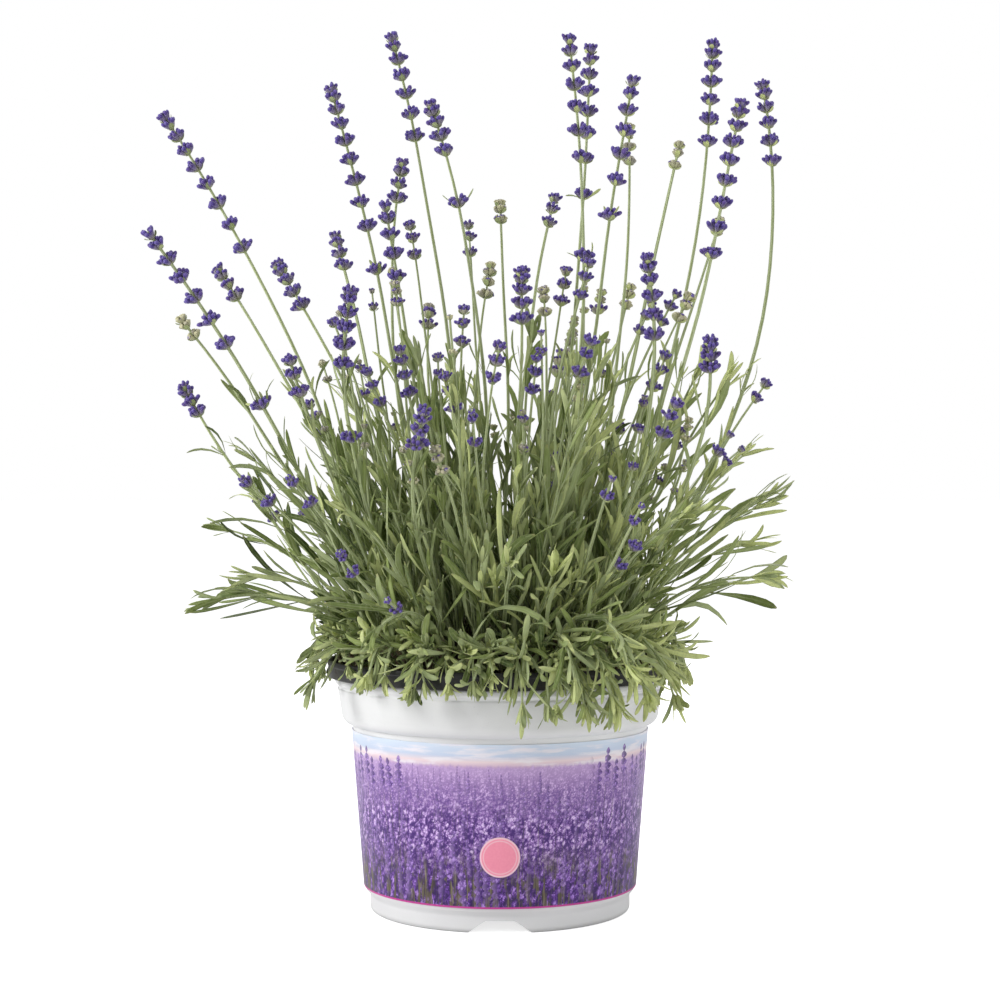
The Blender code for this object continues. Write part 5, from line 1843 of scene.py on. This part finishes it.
class LAVENDER_OT_soil(bpy.types.Operator):
    """Fill the grower's pot with peat and loose crumbs"""

    bl_idname = "lavender.soil"
    bl_label = "Soil"

    def execute(self, context):
        make_soil()
        make_crumbs()
        return {"FINISHED"}


class LAVENDER_OT_crown(bpy.types.Operator):
    """Model the woody crown that the stems grow from"""

    bl_idname = "lavender.crown"
    bl_label = "Woody crown"

    def execute(self, context):
        make_crown()
        return {"FINISHED"}


class LAVENDER_OT_stalks(bpy.types.Operator):
    """Grow the flower stalks with their spikes"""

    bl_idname = "lavender.stalks"
    bl_label = "Flower stalks"

    def execute(self, context):
        for index, row in enumerate(STALKS, 1):
            make_stalk(index, *row)
        return {"FINISHED"}


class LAVENDER_OT_shoots(bpy.types.Operator):
    """Grow the leafy shoots"""

    bl_idname = "lavender.shoots"
    bl_label = "Leafy shoots"

    def execute(self, context):
        for index, row in enumerate(SHOOTS, 1):
            make_shoot(index, *row)
        return {"FINISHED"}


class LAVENDER_OT_side_spikes(bpy.types.Operator):
    """Grow the thin side stems with small spikes"""

    bl_idname = "lavender.side_spikes"
    bl_label = "Side spikes"

    def execute(self, context):
        share = math.ceil(len(SIDE_SPIKES) / SIDE_SPIKE_PIECES)
        for index in range(SIDE_SPIKE_PIECES):
            rows = SIDE_SPIKES[index * share : (index + 1) * share]
            make_side_spikes(f"side_spikes_{index + 1:02d}", rows, SIDE_SPIKE_SEED + index)
        share = YOUNG_STALKS[0] // YOUNG_STALK_PIECES
        for index in range(YOUNG_STALK_PIECES):
            name = f"young_stalks_{index + 1:02d}"
            make_young_stalks(name, index * share, (index + 1) * share, YOUNG_STALK_SEED + index)
        return {"FINISHED"}


class LAVENDER_OT_foliage(bpy.types.Operator):
    """Grow the foliage between the shoots and over the rim"""

    bl_idname = "lavender.foliage"
    bl_label = "Foliage"

    def execute(self, context):
        for index, (name, row) in enumerate(FOLIAGE_RINGS.items()):
            make_foliage(name, *row, FOLIAGE_SEED + index)
        make_tall_leaves()
        make_rim_drape()
        make_rim_sprays()
        return {"FINISHED"}


class LAVENDER_OT_studio(bpy.types.Operator):
    """Set the pale floor, the lights and the camera"""

    bl_idname = "lavender.studio"
    bl_label = "Studio"

    def execute(self, context):
        make_studio()
        return {"FINISHED"}


class LAVENDER_PT_panel(bpy.types.Panel):
    """The steps and the choices of the potted lavender"""

    bl_idname = "LAVENDER_PT_panel"
    bl_label = "Potted Lavender"
    bl_space_type = "VIEW_3D"
    bl_region_type = "UI"
    bl_category = "Lavender"

    def draw(self, context):
        layout = self.layout
        for group in (pot_sizes(), plant_sizes(), colours()):
            box = layout.box()
            for prop in group.bl_rna.properties:
                if prop.identifier not in ("rna_type", "name"):
                    box.prop(group, prop.identifier)
        for operator in OPERATORS:
            layout.operator(operator.bl_idname)


OPERATORS = (
    LAVENDER_OT_cover_pot,
    LAVENDER_OT_label,
    LAVENDER_OT_badge,
    LAVENDER_OT_grow_pot,
    LAVENDER_OT_soil,
    LAVENDER_OT_crown,
    LAVENDER_OT_stalks,
    LAVENDER_OT_shoots,
    LAVENDER_OT_side_spikes,
    LAVENDER_OT_foliage,
    LAVENDER_OT_studio,
)
GROUPS = (PotSizes, PlantSizes, PlantColours)


def register():
    """Makes the choices, the steps and their panel known to Blender."""
    for cls in (*GROUPS, *OPERATORS, LAVENDER_PT_panel):
        bpy.utils.register_class(cls)
    bpy.types.Scene.lavender_pot = bpy.props.PointerProperty(type=PotSizes)
    bpy.types.Scene.lavender_plant = bpy.props.PointerProperty(type=PlantSizes)
    bpy.types.Scene.lavender_colours = bpy.props.PointerProperty(type=PlantColours)


def unregister():
    """Takes away what register made known."""
    del bpy.types.Scene.lavender_pot
    del bpy.types.Scene.lavender_plant
    del bpy.types.Scene.lavender_colours
    for cls in reversed((*GROUPS, *OPERATORS, LAVENDER_PT_panel)):
        bpy.utils.unregister_class(cls)


def main():
    """Runs the steps one after another."""
    register()
    bpy.ops.lavender.cover_pot()
    bpy.ops.lavender.label()
    bpy.ops.lavender.badge()
    bpy.ops.lavender.grow_pot()
    bpy.ops.lavender.soil()
    bpy.ops.lavender.crown()
    bpy.ops.lavender.stalks()
    bpy.ops.lavender.shoots()
    bpy.ops.lavender.side_spikes()
    bpy.ops.lavender.foliage()
    bpy.ops.lavender.studio()


if __name__ == "__main__":
    main()
